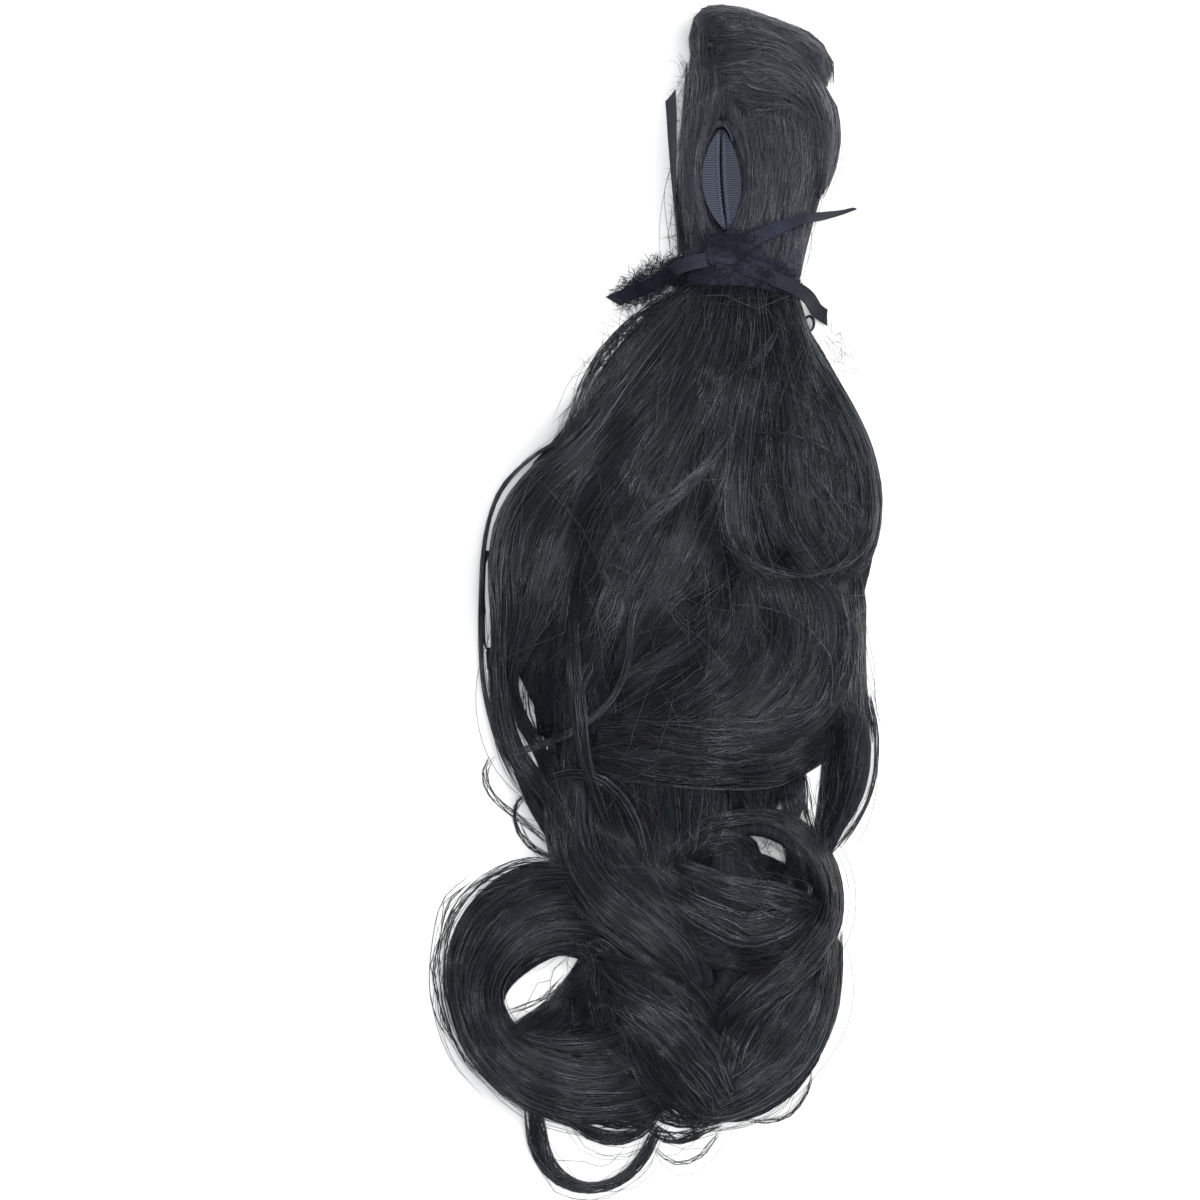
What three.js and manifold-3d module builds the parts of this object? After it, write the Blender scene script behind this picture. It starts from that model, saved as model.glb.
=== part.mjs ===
// Ponytail hairpiece: a hair covered pocket for a bun, tied at its neck with a satin ribbon,
// and the wavy hair that falls from it. It lies on its back, with the slit of the pocket up.
// Millimetres. +Y runs from the curl tips to the crown, +Z up from the table.

import * as THREE from 'three';
import { mergeVertices } from 'three/addons/utils/BufferGeometryUtils.js';
import Module from 'manifold-3d';

const wasm = await Module();
wasm.setup();

// Driving sizes. The tie at the neck is where the base and the tail are measured from.
const BASE_LENGTH = 122;
const BASE_WIDTH = 72;
const BASE_HEIGHT = 34;
const TAIL_LENGTH = 427;
const TAIL_WIDTH = 220;
const TAIL_HEIGHT = 50;
const NECK_WIDTH = 52;
const NECK_HEIGHT = 23;

// Pocket and slit
const POCKET_WALL = 8;
const POCKET_LENGTH = 78;
const SLIT_LENGTH = 52;
const SLIT_WIDTH = 16.6;
const SLIT_GAP = 4.8;
const TAPE_THICK = 1.2;
const TAPE_DROP = 2.4;

// Ribbon
const RIBBON_WIDTH = 6.5;
const RIBBON_THICK = 1;
const TIE_WIDTH = 12;
const TIE_THICK = 1.8;
const KNOT_WIDTH = 11;
const KNOT_LENGTH = 9;
const KNOT_HEIGHT = 5.5;
const LOOP_WIDTH = 5.5;
const LOOP_LENGTH = 8;

// Space kept between pieces that touch
const GAP = 0.3;

const LOCK_SIDES = 8;
const BODY_SIDES = 16;
const FULLNESS = 2.5;

// Colours of the real materials
const HAIR = new THREE.MeshStandardMaterial({ color: 0x232426, roughness: 0.45, metalness: 0 });
const SATIN = new THREE.MeshStandardMaterial({ color: 0x20222c, roughness: 0.4, metalness: 0 });
const TAPE = new THREE.MeshStandardMaterial({ color: 0x454b5f, roughness: 0.75, metalness: 0 });

// Frames that turn a table's shares, in hundredths, into places. "along" is measured from the tie.
const BASE = { width: BASE_WIDTH, length: BASE_LENGTH, height: BASE_HEIGHT };
const TAIL = { width: TAIL_WIDTH, length: -TAIL_LENGTH, height: TAIL_HEIGHT };
const share = (hundredths, size) => (hundredths / 100) * size;

// A closed body through rings of points, each ring with as many points, with a fan at either end.
function ringGeometry(rings) {
  const sides = rings[0].length;
  const ends = [rings[0], rings[rings.length - 1]].map((ring) =>
    ring.reduce((sum, p) => sum.add(p), new THREE.Vector3()).divideScalar(sides));
  const points = [...rings.flat(), ...ends];
  const index = [];
  for (let r = 0; r < rings.length - 1; r += 1) {
    for (let s = 0; s < sides; s += 1) {
      const [a, b] = [r * sides + s, r * sides + ((s + 1) % sides)];
      index.push(a, a + sides, b, b, a + sides, b + sides);
    }
  }
  const [first, last, top] = [points.length - 2, points.length - 1, (rings.length - 1) * sides];
  for (let s = 0; s < sides; s += 1) {
    const next = (s + 1) % sides;
    index.push(first, s, next, last, top + next, top + s);
  }
  if (signedVolume(points, index) < 0) {
    index.reverse();
  }
  const geometry = new THREE.BufferGeometry().setFromPoints(points);
  geometry.setIndex(index);
  return geometry;
}

function signedVolume(points, index) {
  let sum = 0;
  for (let i = 0; i < index.length; i += 3) {
    const [a, b, c] = [points[index[i]], points[index[i + 1]], points[index[i + 2]]];
    sum += a.dot(b.clone().cross(c));
  }
  return sum;
}

// Points of a superellipse of unit half width and half height
function fullOval(sides, fullness) {
  return Array.from({ length: sides }, (_, s) => {
    const turn = (2 * Math.PI * (s + 0.5)) / sides;
    const [c, d] = [Math.cos(turn), Math.sin(turn)];
    const power = 2 / fullness;
    return [Math.sign(c) * Math.abs(c) ** power, Math.sign(d) * Math.abs(d) ** power];
  });
}

const LOCK_OVAL = fullOval(LOCK_SIDES, 2);
const BODY_OVAL = fullOval(BODY_SIDES, FULLNESS);

function toSolid(geometry) {
  const bare = geometry.clone();
  bare.deleteAttribute('normal');
  bare.deleteAttribute('uv');
  const merged = mergeVertices(bare);
  return new wasm.Manifold(new wasm.Mesh({
    numProp: 3,
    vertProperties: Float32Array.from(merged.attributes.position.array),
    triVerts: Uint32Array.from(merged.index.array),
  }));
}

// A smooth line through rows of numbers, read at a place from 0 to 1
function smoothLine(rows) {
  const line = new THREE.CatmullRomCurve3(rows.map((r) => new THREE.Vector3(...r)));
  line.curveType = 'catmullrom';
  return line;
}

// In the up column of a lock, a row that lies on the table has its middle this far up its thickness
const LAID = null;
const LAID_RISE = 0.45;

// A flat lock of hair. Its rows hold: across, along, up, wide, thick.
// The lock lies flat, so its width is level, and "grow" makes it larger all round.
function lock(frame, rows, grow = 0) {
  const places = smoothLine(rows.map(([across, along, up, , thick]) => [
    share(across, frame.width), share(along, frame.length),
    share(up ?? LAID_RISE * thick, frame.height)]));
  const sizes = smoothLine(rows.map((row) => [
    share(row[3], frame.width) / 2, share(row[4], frame.height) / 2, 0]));
  const steps = (rows.length - 1) * 2;
  const rings = [];
  for (let i = 0; i <= steps; i += 1) {
    const centre = places.getPoint(i / steps);
    const way = places.getTangent(i / steps);
    const size = sizes.getPoint(i / steps);
    const side = new THREE.Vector3(way.y, -way.x, 0).normalize();
    const rise = new THREE.Vector3().crossVectors(side, way).normalize();
    const out = i === 0 ? -grow : i === steps ? grow : 0;
    centre.addScaledVector(way, out);
    rings.push(LOCK_OVAL.map(([c, d]) => centre.clone()
      .addScaledVector(side, c * (size.x + grow))
      .addScaledVector(rise, d * (size.y + grow))));
  }
  return toSolid(ringGeometry(rings));
}

// A body lofted through upright sections. Its rows hold: across, along, low, high, wide, all in mm.
function body(rows, grow = 0, sides = BODY_OVAL) {
  const last = rows.length - 1;
  return toSolid(ringGeometry(rows.map(([across, along, low, high, wide], i) => {
    const way = Math.sign(rows[last][1] - rows[0][1]);
    const y = along + (i === 0 ? -grow * way : i === last ? grow * way : 0);
    return sides.map(([c, d]) => new THREE.Vector3(
      across + c * (wide / 2 + grow),
      y,
      (low + high) / 2 + d * ((high - low) / 2 + grow)));
  })));
}

function inFrame(frame, rows) {
  return rows.map(([across, along, low, high, wide]) => [
    share(across, frame.width), share(along, frame.length),
    share(low, frame.height), share(high, frame.height), share(wide, frame.width)]);
}

const join = (solids) => solids.reduce((all, solid) => all.add(solid));
const carve = (solid, others) => others.reduce((rest, other) => rest.subtract(other), solid);

// Everything under the table top, taken off each piece so that it lies flat
const TABLE_DEPTH = 60;
const UNDER_TABLE = toSolid(new THREE.BoxGeometry(
  4 * TAIL_WIDTH, 3 * (TAIL_LENGTH + BASE_LENGTH), TABLE_DEPTH).translate(0, 0, -TABLE_DEPTH / 2));

// The largest single body of a piece, after its neighbours have cut it
function largest(solid) {
  const bodies = solid.decompose();
  return bodies.reduce((best, one) => (one.volume() > best.volume() ? one : best));
}

const laid = (solid) => largest(solid.subtract(UNDER_TABLE));

// The neck's section, which the base and the fall share inside the tie
const NECK_LOW = TIE_THICK + GAP;
const NECK_HIGH = NECK_LOW + NECK_HEIGHT;
const neckRow = (along) => [0, along, NECK_LOW, NECK_HIGH, NECK_WIDTH];
const NECK_REACH = TIE_WIDTH / 2 + 1;

// Pocket of the base. Columns: across, along, low, high, wide
const SHELL_ROWS = inFrame(BASE, [
  [2, 10, -3, 78, 77],
  [3, 18, -3, 79, 82],
  [4, 28, -3, 80, 86],
  [5, 45, -3, 80, 88],
  [6, 63, -3, 78, 89],
  [8, 78, -2, 72, 84],
  [9, 84, 10, 62, 74],
]);

// Strips of hair laid over the front, right of the slit. Columns: across, along, up, wide, thick
const FRONT_STRIPS = [
  [[4, 12, 74, 10, 14], [7, 32, 78, 16, 16], [9, 56, 75, 14, 14]],
  [[16, 12, 73, 10, 14], [20, 34, 77, 17, 16], [22, 57, 74, 15, 14]],
  [[28, 14, 66, 9, 16], [33, 34, 70, 15, 18], [35, 56, 68, 13, 16]],
];

function shellBody(grow = 0) {
  const outer = body([neckRow(GAP / 2), neckRow(NECK_REACH), ...SHELL_ROWS], grow);
  return join([outer, ...FRONT_STRIPS.map((rows) => lock(BASE, rows, grow))]);
}

// The hollow stays one wall inside the shell all round, from just past the tie
function pocketHollow() {
  const start = NECK_REACH + POCKET_WALL;
  const inner = SHELL_ROWS.filter(([, along]) => along > start && along < start + POCKET_LENGTH)
    .map(([across, along, low, high, wide]) => [
      across, along, Math.max(low, 0) + POCKET_WALL, high - POCKET_WALL, wide - 2 * POCKET_WALL]);
  const [first, last] = [inner[0], inner[inner.length - 1]];
  return body([[first[0], start, ...first.slice(2)], ...inner,
    [last[0], start + POCKET_LENGTH, ...last.slice(2)]]);
}

// The slit is an almond. Its outline and its tapes share these places along it.
const SLIT_ACROSS = share(-14, BASE_WIDTH);
const SLIT_ALONG = share(31.8, BASE_LENGTH);
const SLIT_TOP = share(80, BASE_HEIGHT);
const SLIT_STEPS = 14;
const slitPlaces = Array.from({ length: SLIT_STEPS + 1 }, (_, i) => SLIT_LENGTH * (i / SLIT_STEPS - 0.5));
const slitHalf = (along) => (SLIT_WIDTH / 2) * (1 - (2 * Math.abs(along) / SLIT_LENGTH) ** 2);

function almond() {
  const outline = [
    ...slitPlaces.slice(0, -1).map((t) => new THREE.Vector2(slitHalf(t), t)),
    ...slitPlaces.slice(0, -1).map((t) => new THREE.Vector2(-slitHalf(t), -t)),
  ];
  return toSolid(new THREE.ExtrudeGeometry(new THREE.Shape(outline), {
    depth: BASE_HEIGHT, bevelEnabled: false }).translate(SLIT_ACROSS, SLIT_ALONG, SLIT_TOP / 2));
}

// One tape of the slit: from the slit's edge it slopes down and in towards the middle
function slitTape(sign) {
  const rings = slitPlaces.slice(1, -1).map((t) => {
    const edge = slitHalf(t) - 1.5 * GAP;
    const open = (SLIT_GAP / 2) * (slitHalf(t) / (SLIT_WIDTH / 2)) ** 0.5;
    const inner = Math.min(open, edge / 2);
    const drop = TAPE_DROP * ((edge - inner) / (SLIT_WIDTH / 2));
    const high = SLIT_TOP - POCKET_WALL / 3;
    const corner = (x, z) => new THREE.Vector3(SLIT_ACROSS + sign * x, SLIT_ALONG + t, z);
    return [
      corner(inner, high - drop),
      corner(edge, high),
      corner(edge, high - TAPE_THICK),
      corner(inner, high - drop - TAPE_THICK),
    ];
  });
  return toSolid(ringGeometry(rings));
}

// Columns of both: across, along, up, wide, thick
const ROLL_ROWS = [
  [-31, 87.5, 47, 22, 66],
  [-20, 90, 47, 35, 94],
  [0, 87.5, 47, 37, 98],
  [21, 83, 47, 36, 98],
  [40, 77.5, 46, 33, 94],
  [52, 73.5, 44, 22, 66],
];

const WRAP_ROWS = [
  [-31, 9, 58, 10, 34],
  [-32.5, 26, 60, 14, 44],
  [-32.5, 44, 62, 16, 48],
  [-26, 60.5, 72, 25, 46],
  [-5, 68.5, 80, 33, 38],
  [18, 70, 80, 33, 38],
  [39, 64.5, 72, 28, 46],
  [51, 53, 56, 22, 64],
  [53, 39, 42, 17, 66],
  [47, 24, 34, 11, 50],
];

// Ring of ribbon wound round the neck
const TIE_TOP = NECK_HIGH + GAP + TIE_THICK;

function tieRing(grow = 0) {
  const half = TIE_WIDTH / 2 + grow;
  const ring = (low, high, wide, reach) => body([
    [0, -reach, low, high, wide],
    [0, reach, low, high, wide],
  ]);
  const outer = ring(-grow, TIE_TOP + grow, NECK_WIDTH + 2 * (GAP + TIE_THICK + grow), half);
  const inner = ring(NECK_LOW - GAP, NECK_HIGH + GAP, NECK_WIDTH + 2 * GAP, 2 * half);
  return grow > 0 ? outer : outer.subtract(inner);
}

// The knot sits on the ring at the foot of the slit
const KNOT_PLACE = [-11, 2];
function tieKnot() {
  const ball = new THREE.SphereGeometry(0.5, 14, 9).scale(KNOT_WIDTH, KNOT_LENGTH, 2 * KNOT_HEIGHT);
  const lump = toSolid(ball.translate(...KNOT_PLACE, TIE_TOP));
  return largest(carve(lump, [tieRing(GAP), shellBody(GAP)]));
}

// Where the loop of ribbon stands, beside the neck
const LOOP_PLACE = [31.5, -25, 0];

// The loop is ribbon folded back on itself: a flat teardrop with an eye
function ribbonLoop(grow = 0) {
  const outline = (size) => new THREE.Shape().absellipse(
    0, 0, LOOP_WIDTH / 2 + size, LOOP_LENGTH / 2 + size, 0, 2 * Math.PI);
  const shape = outline(grow);
  if (grow === 0) {
    shape.holes.push(outline(-RIBBON_THICK));
  }
  return toSolid(new THREE.ExtrudeGeometry(shape, {
    depth: RIBBON_WIDTH + grow, bevelEnabled: false, curveSegments: 7 }).translate(...LOOP_PLACE));
}

// Routes of the free ribbon ends, in mm from the tie, with the turn of the flat side in degrees
const ROUTE_UPPER_LEFT = [
  [-28.8, 1, 8, 89], [-29, 8, 7.6, 89], [-29.4, 17, 6.6, 86], [-30.2, 27, 5.2, 70],
  [-31, 38, 3.4, 40], [-31.4, 50, 1.9, 14], [-31.8, 62, 1, 2], [-32.1, 72, 0.8, 0], [-32.6, 81, 0.8, 0],
];
const ROUTE_LOWER_LEFT = [
  [-16.8, 1.6, 28.4, 0], [-22.5, 0.6, 27.4, 0], [-27, -0.4, 24.2, 0], [-30.4, -1.4, 18.5, 0],
  [-33, -2.8, 11.5, 0], [-37, -4.8, 5, 0], [-44, -7.8, 1.4, 0],
  [-52, -11, 0.8, 0], [-59.5, -14.4, 0.8, 0],
];
const ROUTE_LOWER_RIGHT = [
  [-4.6, 0, 28.2, 0], [3, -3, 28.2, 0], [11, -6, 28.4, 0], [18.5, -9, 28.2, 0], [25, -12, 26.2, 0],
  [29.6, -14.6, 21, 0], [32.4, -17, 13, 0], [35, -19.2, 5.4, 0], [40, -22, 1.1, 0],
];
const ROUTE_UPPER_RIGHT = [
  [-4.6, 5.8, 29.6, 0], [1, 9, 29.6, 0], [8, 12.6, 29.8, 0], [15.5, 16, 30, 0], [22.5, 18.8, 29.8, 0],
  [29, 20.8, 27.8, 0], [34.5, 22.4, 20.5, 10], [40.5, 24.6, 10, 40],
  [46, 26.4, 5, 74], [52, 28.4, 3.8, 88],
];

// A free end of ribbon along its route
function ribbonEnd(route, grow = 0) {
  const places = smoothLine(route.map(([x, y, z]) => [x, y, z]));
  const turns = smoothLine(route.map((row) => [row[3], 0, 0]));
  const steps = (route.length - 1) * 2;
  const flat = fullOval(8, 5);
  const rings = [];
  for (let i = 0; i <= steps; i += 1) {
    const centre = places.getPoint(i / steps);
    const way = places.getTangent(i / steps);
    const turn = THREE.MathUtils.degToRad(turns.getPoint(i / steps).x);
    const side = new THREE.Vector3(way.y, -way.x, 0).normalize().applyAxisAngle(way, turn);
    const rise = new THREE.Vector3().crossVectors(side, way).normalize();
    rings.push(flat.map(([c, d]) => centre.clone()
      .addScaledVector(side, c * (RIBBON_WIDTH / 2 + grow))
      .addScaledVector(rise, d * (RIBBON_THICK / 2 + grow))));
  }
  return toSolid(ringGeometry(rings));
}

// The fall: a core from the neck, with the locks that lie on it
const FALL_CORE = inFrame(TAIL, [
  [-1, 4, -2, 60, 30],
  [-4, 9, -3, 74, 42],
  [-4.5, 15, -3, 82, 54],
  [-4, 22, -3, 86, 60],
  [-5.5, 30, -3, 88, 62],
  [-7.5, 38, -3, 86, 60],
  [-10, 46, -3, 80, 56],
  [-12, 53, -2, 70, 52],
  [-15, 58, 4, 56, 42],
  [-15, 61, 10, 38, 28],
]);

const FALL_LOCKS = {
  left_fall: [
    [-9, 4, 40, 12, 40], [-17, 10.5, 44, 16, 52], [-26, 17.5, 42, 22, 62],
    [-35.5, 23.8, 36, 25, 66],
    [-42, 30, 32, 23, 64], [-43.5, 37, 30, 20, 58], [-42, 43.5, 25, 15, 48], [-39, 50, 18, 8, 30],
  ],
  right_fall: [
    [7.5, 4.5, 40, 11, 42], [12.8, 11.5, 44, 16, 56], [17.8, 18, 44, 19, 66], [20.6, 25, 42, 20, 70],
    [20.5, 31.5, 38, 18, 66], [18.5, 37.5, 34, 16, 60], [19.5, 43, 30, 13, 52], [22, 48, 24, 9, 40],
  ],
  left_inner: [
    [-6, 5, 60, 9, 30], [-14, 13, 76, 13, 34], [-20, 21, 82, 16, 36], [-25, 29, 80, 16, 36],
    [-28, 37, 76, 13, 34], [-27, 44, 68, 8, 28],
  ],
  centre: [
    [-1, 8, 70, 8, 24], [-3, 15, 84, 11, 26], [-4, 22, 90, 12, 24], [-1, 29, 92, 12, 22],
    [6, 34, 88, 9, 20], [13, 37.5, 80, 5, 16],
  ],
  right_inner: [
    [7, 6, 64, 9, 30], [10, 13, 78, 13, 34], [11, 21, 84, 14, 36],
    [14, 28, 82, 13, 34], [20, 33, 72, 9, 28],
  ],
  diagonal: [
    [-3, 18, 98, 3, 12], [-10, 22, 98, 4.5, 12], [-18, 26, 96, 5, 12], [-26, 30, 90, 3, 12],
  ],
  round_patch: [
    [-8, 6, 66, 5, 20], [-7.5, 10.5, 80, 9, 20], [0, 13.4, 86, 9, 18],
    [8.5, 11.5, 82, 8, 18], [11, 7.5, 70, 4, 18],
  ],
  lower_left: [
    [-36, 37, 50, 6, 30], [-35, 43, 56, 8, 34], [-33.5, 49, 54, 8, 34], [-32, 54, 44, 6, 30],
  ],
};

function hairFall(grow = 0) {
  const core = body([neckRow(-GAP / 2), neckRow(-NECK_REACH), ...FALL_CORE], grow);
  return join([core, ...Object.values(FALL_LOCKS).map((rows) => lock(TAIL, rows, grow))]);
}

// The other locks of the tail, in the order in which they are laid. A later lock makes room
// for the ones before it. Columns: across, along, up, wide, thick
const TAIL_LOCKS = {
  cross_wave: [
    [[-2, 31, 84, 8, 22], [8, 34.5, 86, 17, 32], [14.5, 40, 80, 21, 44], [10, 46, 76, 20, 46],
      [0, 50, 74, 17, 44], [-13, 51, 70, 16, 42], [-25, 50.5, 62, 14, 38], [-33, 49.5, 50, 9, 28]],
    [[-6, 36, 84, 8, 24], [-3, 41, 88, 14, 26], [-9, 45.5, 84, 13, 26], [-17, 47, 76, 7, 20]],
  ],
  left_stream: [
    [[-49.5, 38, LAID, 4, 22], [-50.5, 45, LAID, 5, 24], [-48, 52, LAID, 5.5, 26],
      [-43.5, 58, LAID, 6, 28], [-38, 62.5, LAID, 6, 28]],
    [[-54, 30, LAID, 1.6, 10], [-54.6, 37, LAID, 1.8, 10], [-53.5, 44, LAID, 1.8, 10],
      [-50, 50, LAID, 1.8, 12], [-45, 55.5, LAID, 2, 14]],
  ],
  right_stream: [
    [[22, 46.5, LAID, 8, 40], [23.8, 51.5, LAID, 9, 40], [23, 56.5, LAID, 8, 34],
      [20, 60.5, LAID, 5.5, 26], [18, 64, 10, 3, 16]],
  ],
  right_curl: [
    [[-13, 63.5, 34, 6, 30], [-6, 61.2, 44, 6, 30], [1.5, 60.2, 50, 6, 30], [8.5, 61.3, 52, 6, 30],
      [14, 64, 48, 6.5, 34], [17.4, 67.5, 42, 7, 40],
      [17.8, 70.8, 38, 7.5, 44], [14.5, 73.5, 38, 8, 46],
      [9, 75.5, 40, 8, 44], [2.5, 78, 44, 8, 38], [-4, 81, 44, 8, 30]],
    [[-13, 66.5, 34, 12, 34], [-4, 68.3, 36, 17, 42], [5, 70.3, 38, 18, 42], [13, 71.6, 36, 13, 34]],
    [[-5, 61.5, 38, 8, 26], [-3.5, 64, 38, 11, 30], [-1, 67, 38, 10, 30]],
    [[10, 62, 40, 4, 24], [9.8, 64.5, 36, 5, 28], [8.6, 67, 36, 7, 30]],
  ],
  lower_fall: [
    [[-36, 52, LAID, 11, 46], [-36, 57, LAID, 13, 52], [-35, 61.5, LAID, 13, 56],
      [-31, 65.5, 36, 15.5, 56], [-24, 69.5, 42, 17, 50], [-15.5, 73.5, 42, 16, 44],
      [-10, 78.5, 34, 13, 38]],
    [[-22, 56, LAID, 20, 44], [-18, 63, LAID, 24, 46], [-14, 70, LAID, 24, 42]],
    [[4, 51.5, 26, 13, 40], [4.5, 55, 24, 14, 38], [4, 58.2, 20, 13, 30]],
  ],
  tip_lock: [
    [[-30, 77.5, 46, 8, 24], [-22.5, 79.5, 56, 12, 30], [-14.5, 82, 56, 14, 34], [-9, 86.5, 48, 14, 36],
      [-5, 91.5, 32, 10, 34]],
  ],
  left_curl: [
    [[-24, 69, LAID, 18, 36], [-32, 69, LAID, 22, 44],
      [-41, 69.9, LAID, 21.5, 50], [-49, 73, LAID, 18, 50],
      [-54.5, 77.6, LAID, 13.5, 46], [-54.2, 82.4, LAID, 13.5, 44], [-47.4, 85.9, LAID, 18, 44],
      [-38.5, 87, LAID, 21.5, 44], [-27.5, 87.6, LAID, 20, 42], [-17.5, 87.4, LAID, 19, 38]],
  ],
  curl_heart: [
    [[-22, 73, LAID, 16, 40], [-23, 78, LAID, 24, 46], [-20, 83.5, LAID, 24, 46]],
    [[-6, 71, LAID, 14, 30], [-4, 76, LAID, 20, 34], [-6, 82, LAID, 20, 34]],
  ],
  lower_right_curl: [
    [[3, 73.5, LAID, 14, 36], [10.4, 76, LAID, 20, 48],
      [9.8, 81, LAID, 22, 54], [4.6, 85.6, LAID, 23, 54],
      [-4, 88.3, LAID, 21, 46], [-13, 89.4, LAID, 13, 32]],
  ],
};

// Loops of hair that end on the table below the curls
const TIP_LOOPS = {
  tip_loop_wide: [
    [[-42.6, 90.5, 14, 3.6, 16], [-43.6, 94, LAID, 3.6, 14], [-40, 97.4, LAID, 3.6, 13],
      [-33, 99.2, LAID, 3.2, 12], [-26.4, 98.6, LAID, 2.8, 11], [-21, 95.8, LAID, 2.6, 11],
      [-17.4, 92, 12, 2.4, 12]],
  ],
  tip_loop_small: [
    [[-36, 92.4, 10, 2, 12], [-31, 94.4, LAID, 2.4, 12],
      [-26, 94.9, LAID, 2.4, 12], [-20.5, 92.6, 12, 2, 12]],
  ],
  tip_loop_right: [
    [[-19, 94.3, LAID, 1.4, 9], [-14.6, 95.4, LAID, 1.6, 9],
      [-10, 94.4, LAID, 1.6, 9], [-5.4, 92, 10, 1.4, 10]],
  ],
};

const group = new THREE.Group();
const earlier = [];

function addSolid(name, solid, material) {
  const { vertProperties, triVerts } = solid.getMesh();
  const geometry = new THREE.BufferGeometry();
  geometry.setAttribute('position', new THREE.BufferAttribute(Float32Array.from(vertProperties), 3));
  geometry.setIndex(Array.from(triVerts));
  geometry.computeVertexNormals();
  const mesh = new THREE.Mesh(geometry, material);
  mesh.name = name;
  group.add(mesh);
}

// Adds a piece of hair, cut clear of the pieces laid before it
function addHair(name, shape) {
  addSolid(name, laid(carve(shape(0), earlier)), HAIR);
  earlier.push(shape(GAP));
}

const ROUTES = {
  ribbon_upper_left: ROUTE_UPPER_LEFT,
  ribbon_lower_left: ROUTE_LOWER_LEFT,
  ribbon_lower_right: ROUTE_LOWER_RIGHT,
  ribbon_upper_right: ROUTE_UPPER_RIGHT,
};

// Base, with its hollow and its slit
const shell = shellBody();
addSolid('pocket_shell', laid(carve(shell, [pocketHollow(), almond()])), HAIR);
earlier.push(shellBody(GAP));
addSolid('slit_tape_left', slitTape(-1), TAPE);
addSolid('slit_tape_right', slitTape(1), TAPE);
addHair('crown_roll', (grow) => lock(BASE, ROLL_ROWS, grow));
addHair('wrap_lock', (grow) => lock(BASE, WRAP_ROWS, grow));

// Tie and ribbon
addSolid('tie_ribbon', laid(tieRing()), SATIN);
earlier.push(tieRing(GAP));
addSolid('tie_knot', tieKnot(), SATIN);
for (const [name, route] of Object.entries(ROUTES)) {
  addSolid(name, ribbonEnd(route), SATIN);
  earlier.push(ribbonEnd(route, GAP));
}
addSolid('ribbon_loop', ribbonLoop(), SATIN);
earlier.push(ribbonLoop(GAP));

// Hair
addHair('hair_fall', hairFall);
for (const [name, tables] of Object.entries({ ...TAIL_LOCKS, ...TIP_LOOPS })) {
  addHair(name, (grow) => join(tables.map((rows) => lock(TAIL, rows, grow))));
}

// The origin goes to the middle of the footprint, on the table
const bounds = new THREE.Box3().setFromObject(group);
const middle = bounds.getCenter(new THREE.Vector3());
for (const mesh of group.children) {
  mesh.position.set(-middle.x, -middle.y, 0);
}

export default group;
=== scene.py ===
"""A black, wavy ponytail hairpiece, laid flat on a table and seen from straight above.

The hair is made of real strands: closed tubes about 0.4 mm across, combed along locks that are
placed over the solids of the frame. A lock is a short table of places along its middle.
"""

from __future__ import annotations

import logging
import math
from dataclasses import dataclass, field, replace
from enum import Enum
from typing import Sequence

import bpy
import numpy as np
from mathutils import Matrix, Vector
from mathutils.bvhtree import BVHTree

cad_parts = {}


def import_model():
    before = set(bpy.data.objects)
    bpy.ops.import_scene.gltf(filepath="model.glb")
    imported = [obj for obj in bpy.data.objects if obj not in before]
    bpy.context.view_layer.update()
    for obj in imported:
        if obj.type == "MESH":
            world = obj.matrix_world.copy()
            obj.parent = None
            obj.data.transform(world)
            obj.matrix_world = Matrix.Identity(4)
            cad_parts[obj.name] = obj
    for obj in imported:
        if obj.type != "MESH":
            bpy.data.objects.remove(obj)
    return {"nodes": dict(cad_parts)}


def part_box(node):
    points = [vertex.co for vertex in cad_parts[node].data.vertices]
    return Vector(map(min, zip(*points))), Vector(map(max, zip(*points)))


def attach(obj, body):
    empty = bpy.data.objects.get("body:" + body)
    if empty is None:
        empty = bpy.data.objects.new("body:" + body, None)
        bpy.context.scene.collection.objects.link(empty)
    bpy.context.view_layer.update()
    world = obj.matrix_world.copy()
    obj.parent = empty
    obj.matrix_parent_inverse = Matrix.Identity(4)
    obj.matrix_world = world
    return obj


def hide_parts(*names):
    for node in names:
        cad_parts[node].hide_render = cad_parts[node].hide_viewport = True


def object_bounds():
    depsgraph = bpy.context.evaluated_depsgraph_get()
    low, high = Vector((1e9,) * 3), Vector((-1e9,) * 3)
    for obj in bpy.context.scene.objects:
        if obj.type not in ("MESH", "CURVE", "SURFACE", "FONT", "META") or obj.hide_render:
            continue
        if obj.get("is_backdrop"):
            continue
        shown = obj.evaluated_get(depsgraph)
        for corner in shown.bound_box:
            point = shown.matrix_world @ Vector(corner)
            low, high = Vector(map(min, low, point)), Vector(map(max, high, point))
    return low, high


LOG = logging.getLogger("ponytail")
MM = 0.001
BODY = "root"
PICTURE_SIDE = 1200
Row = tuple[float, ...]
Array = np.ndarray
Material = bpy.types.Material
Object = bpy.types.Object
Stops = tuple[tuple[float, Row], ...]
UP = np.array([0.0, 0.0, 1.0])
NO_TRIANGLES = np.zeros((0, 3), int)
TINY = 1e-12
FULLNESS = 2.5


class Slot(str, Enum):
    """The material slots of the record."""

    HAIR = "hair"
    TAPE = "woven_tape"
    SATIN = "satin_ribbon"


# Places


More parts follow.
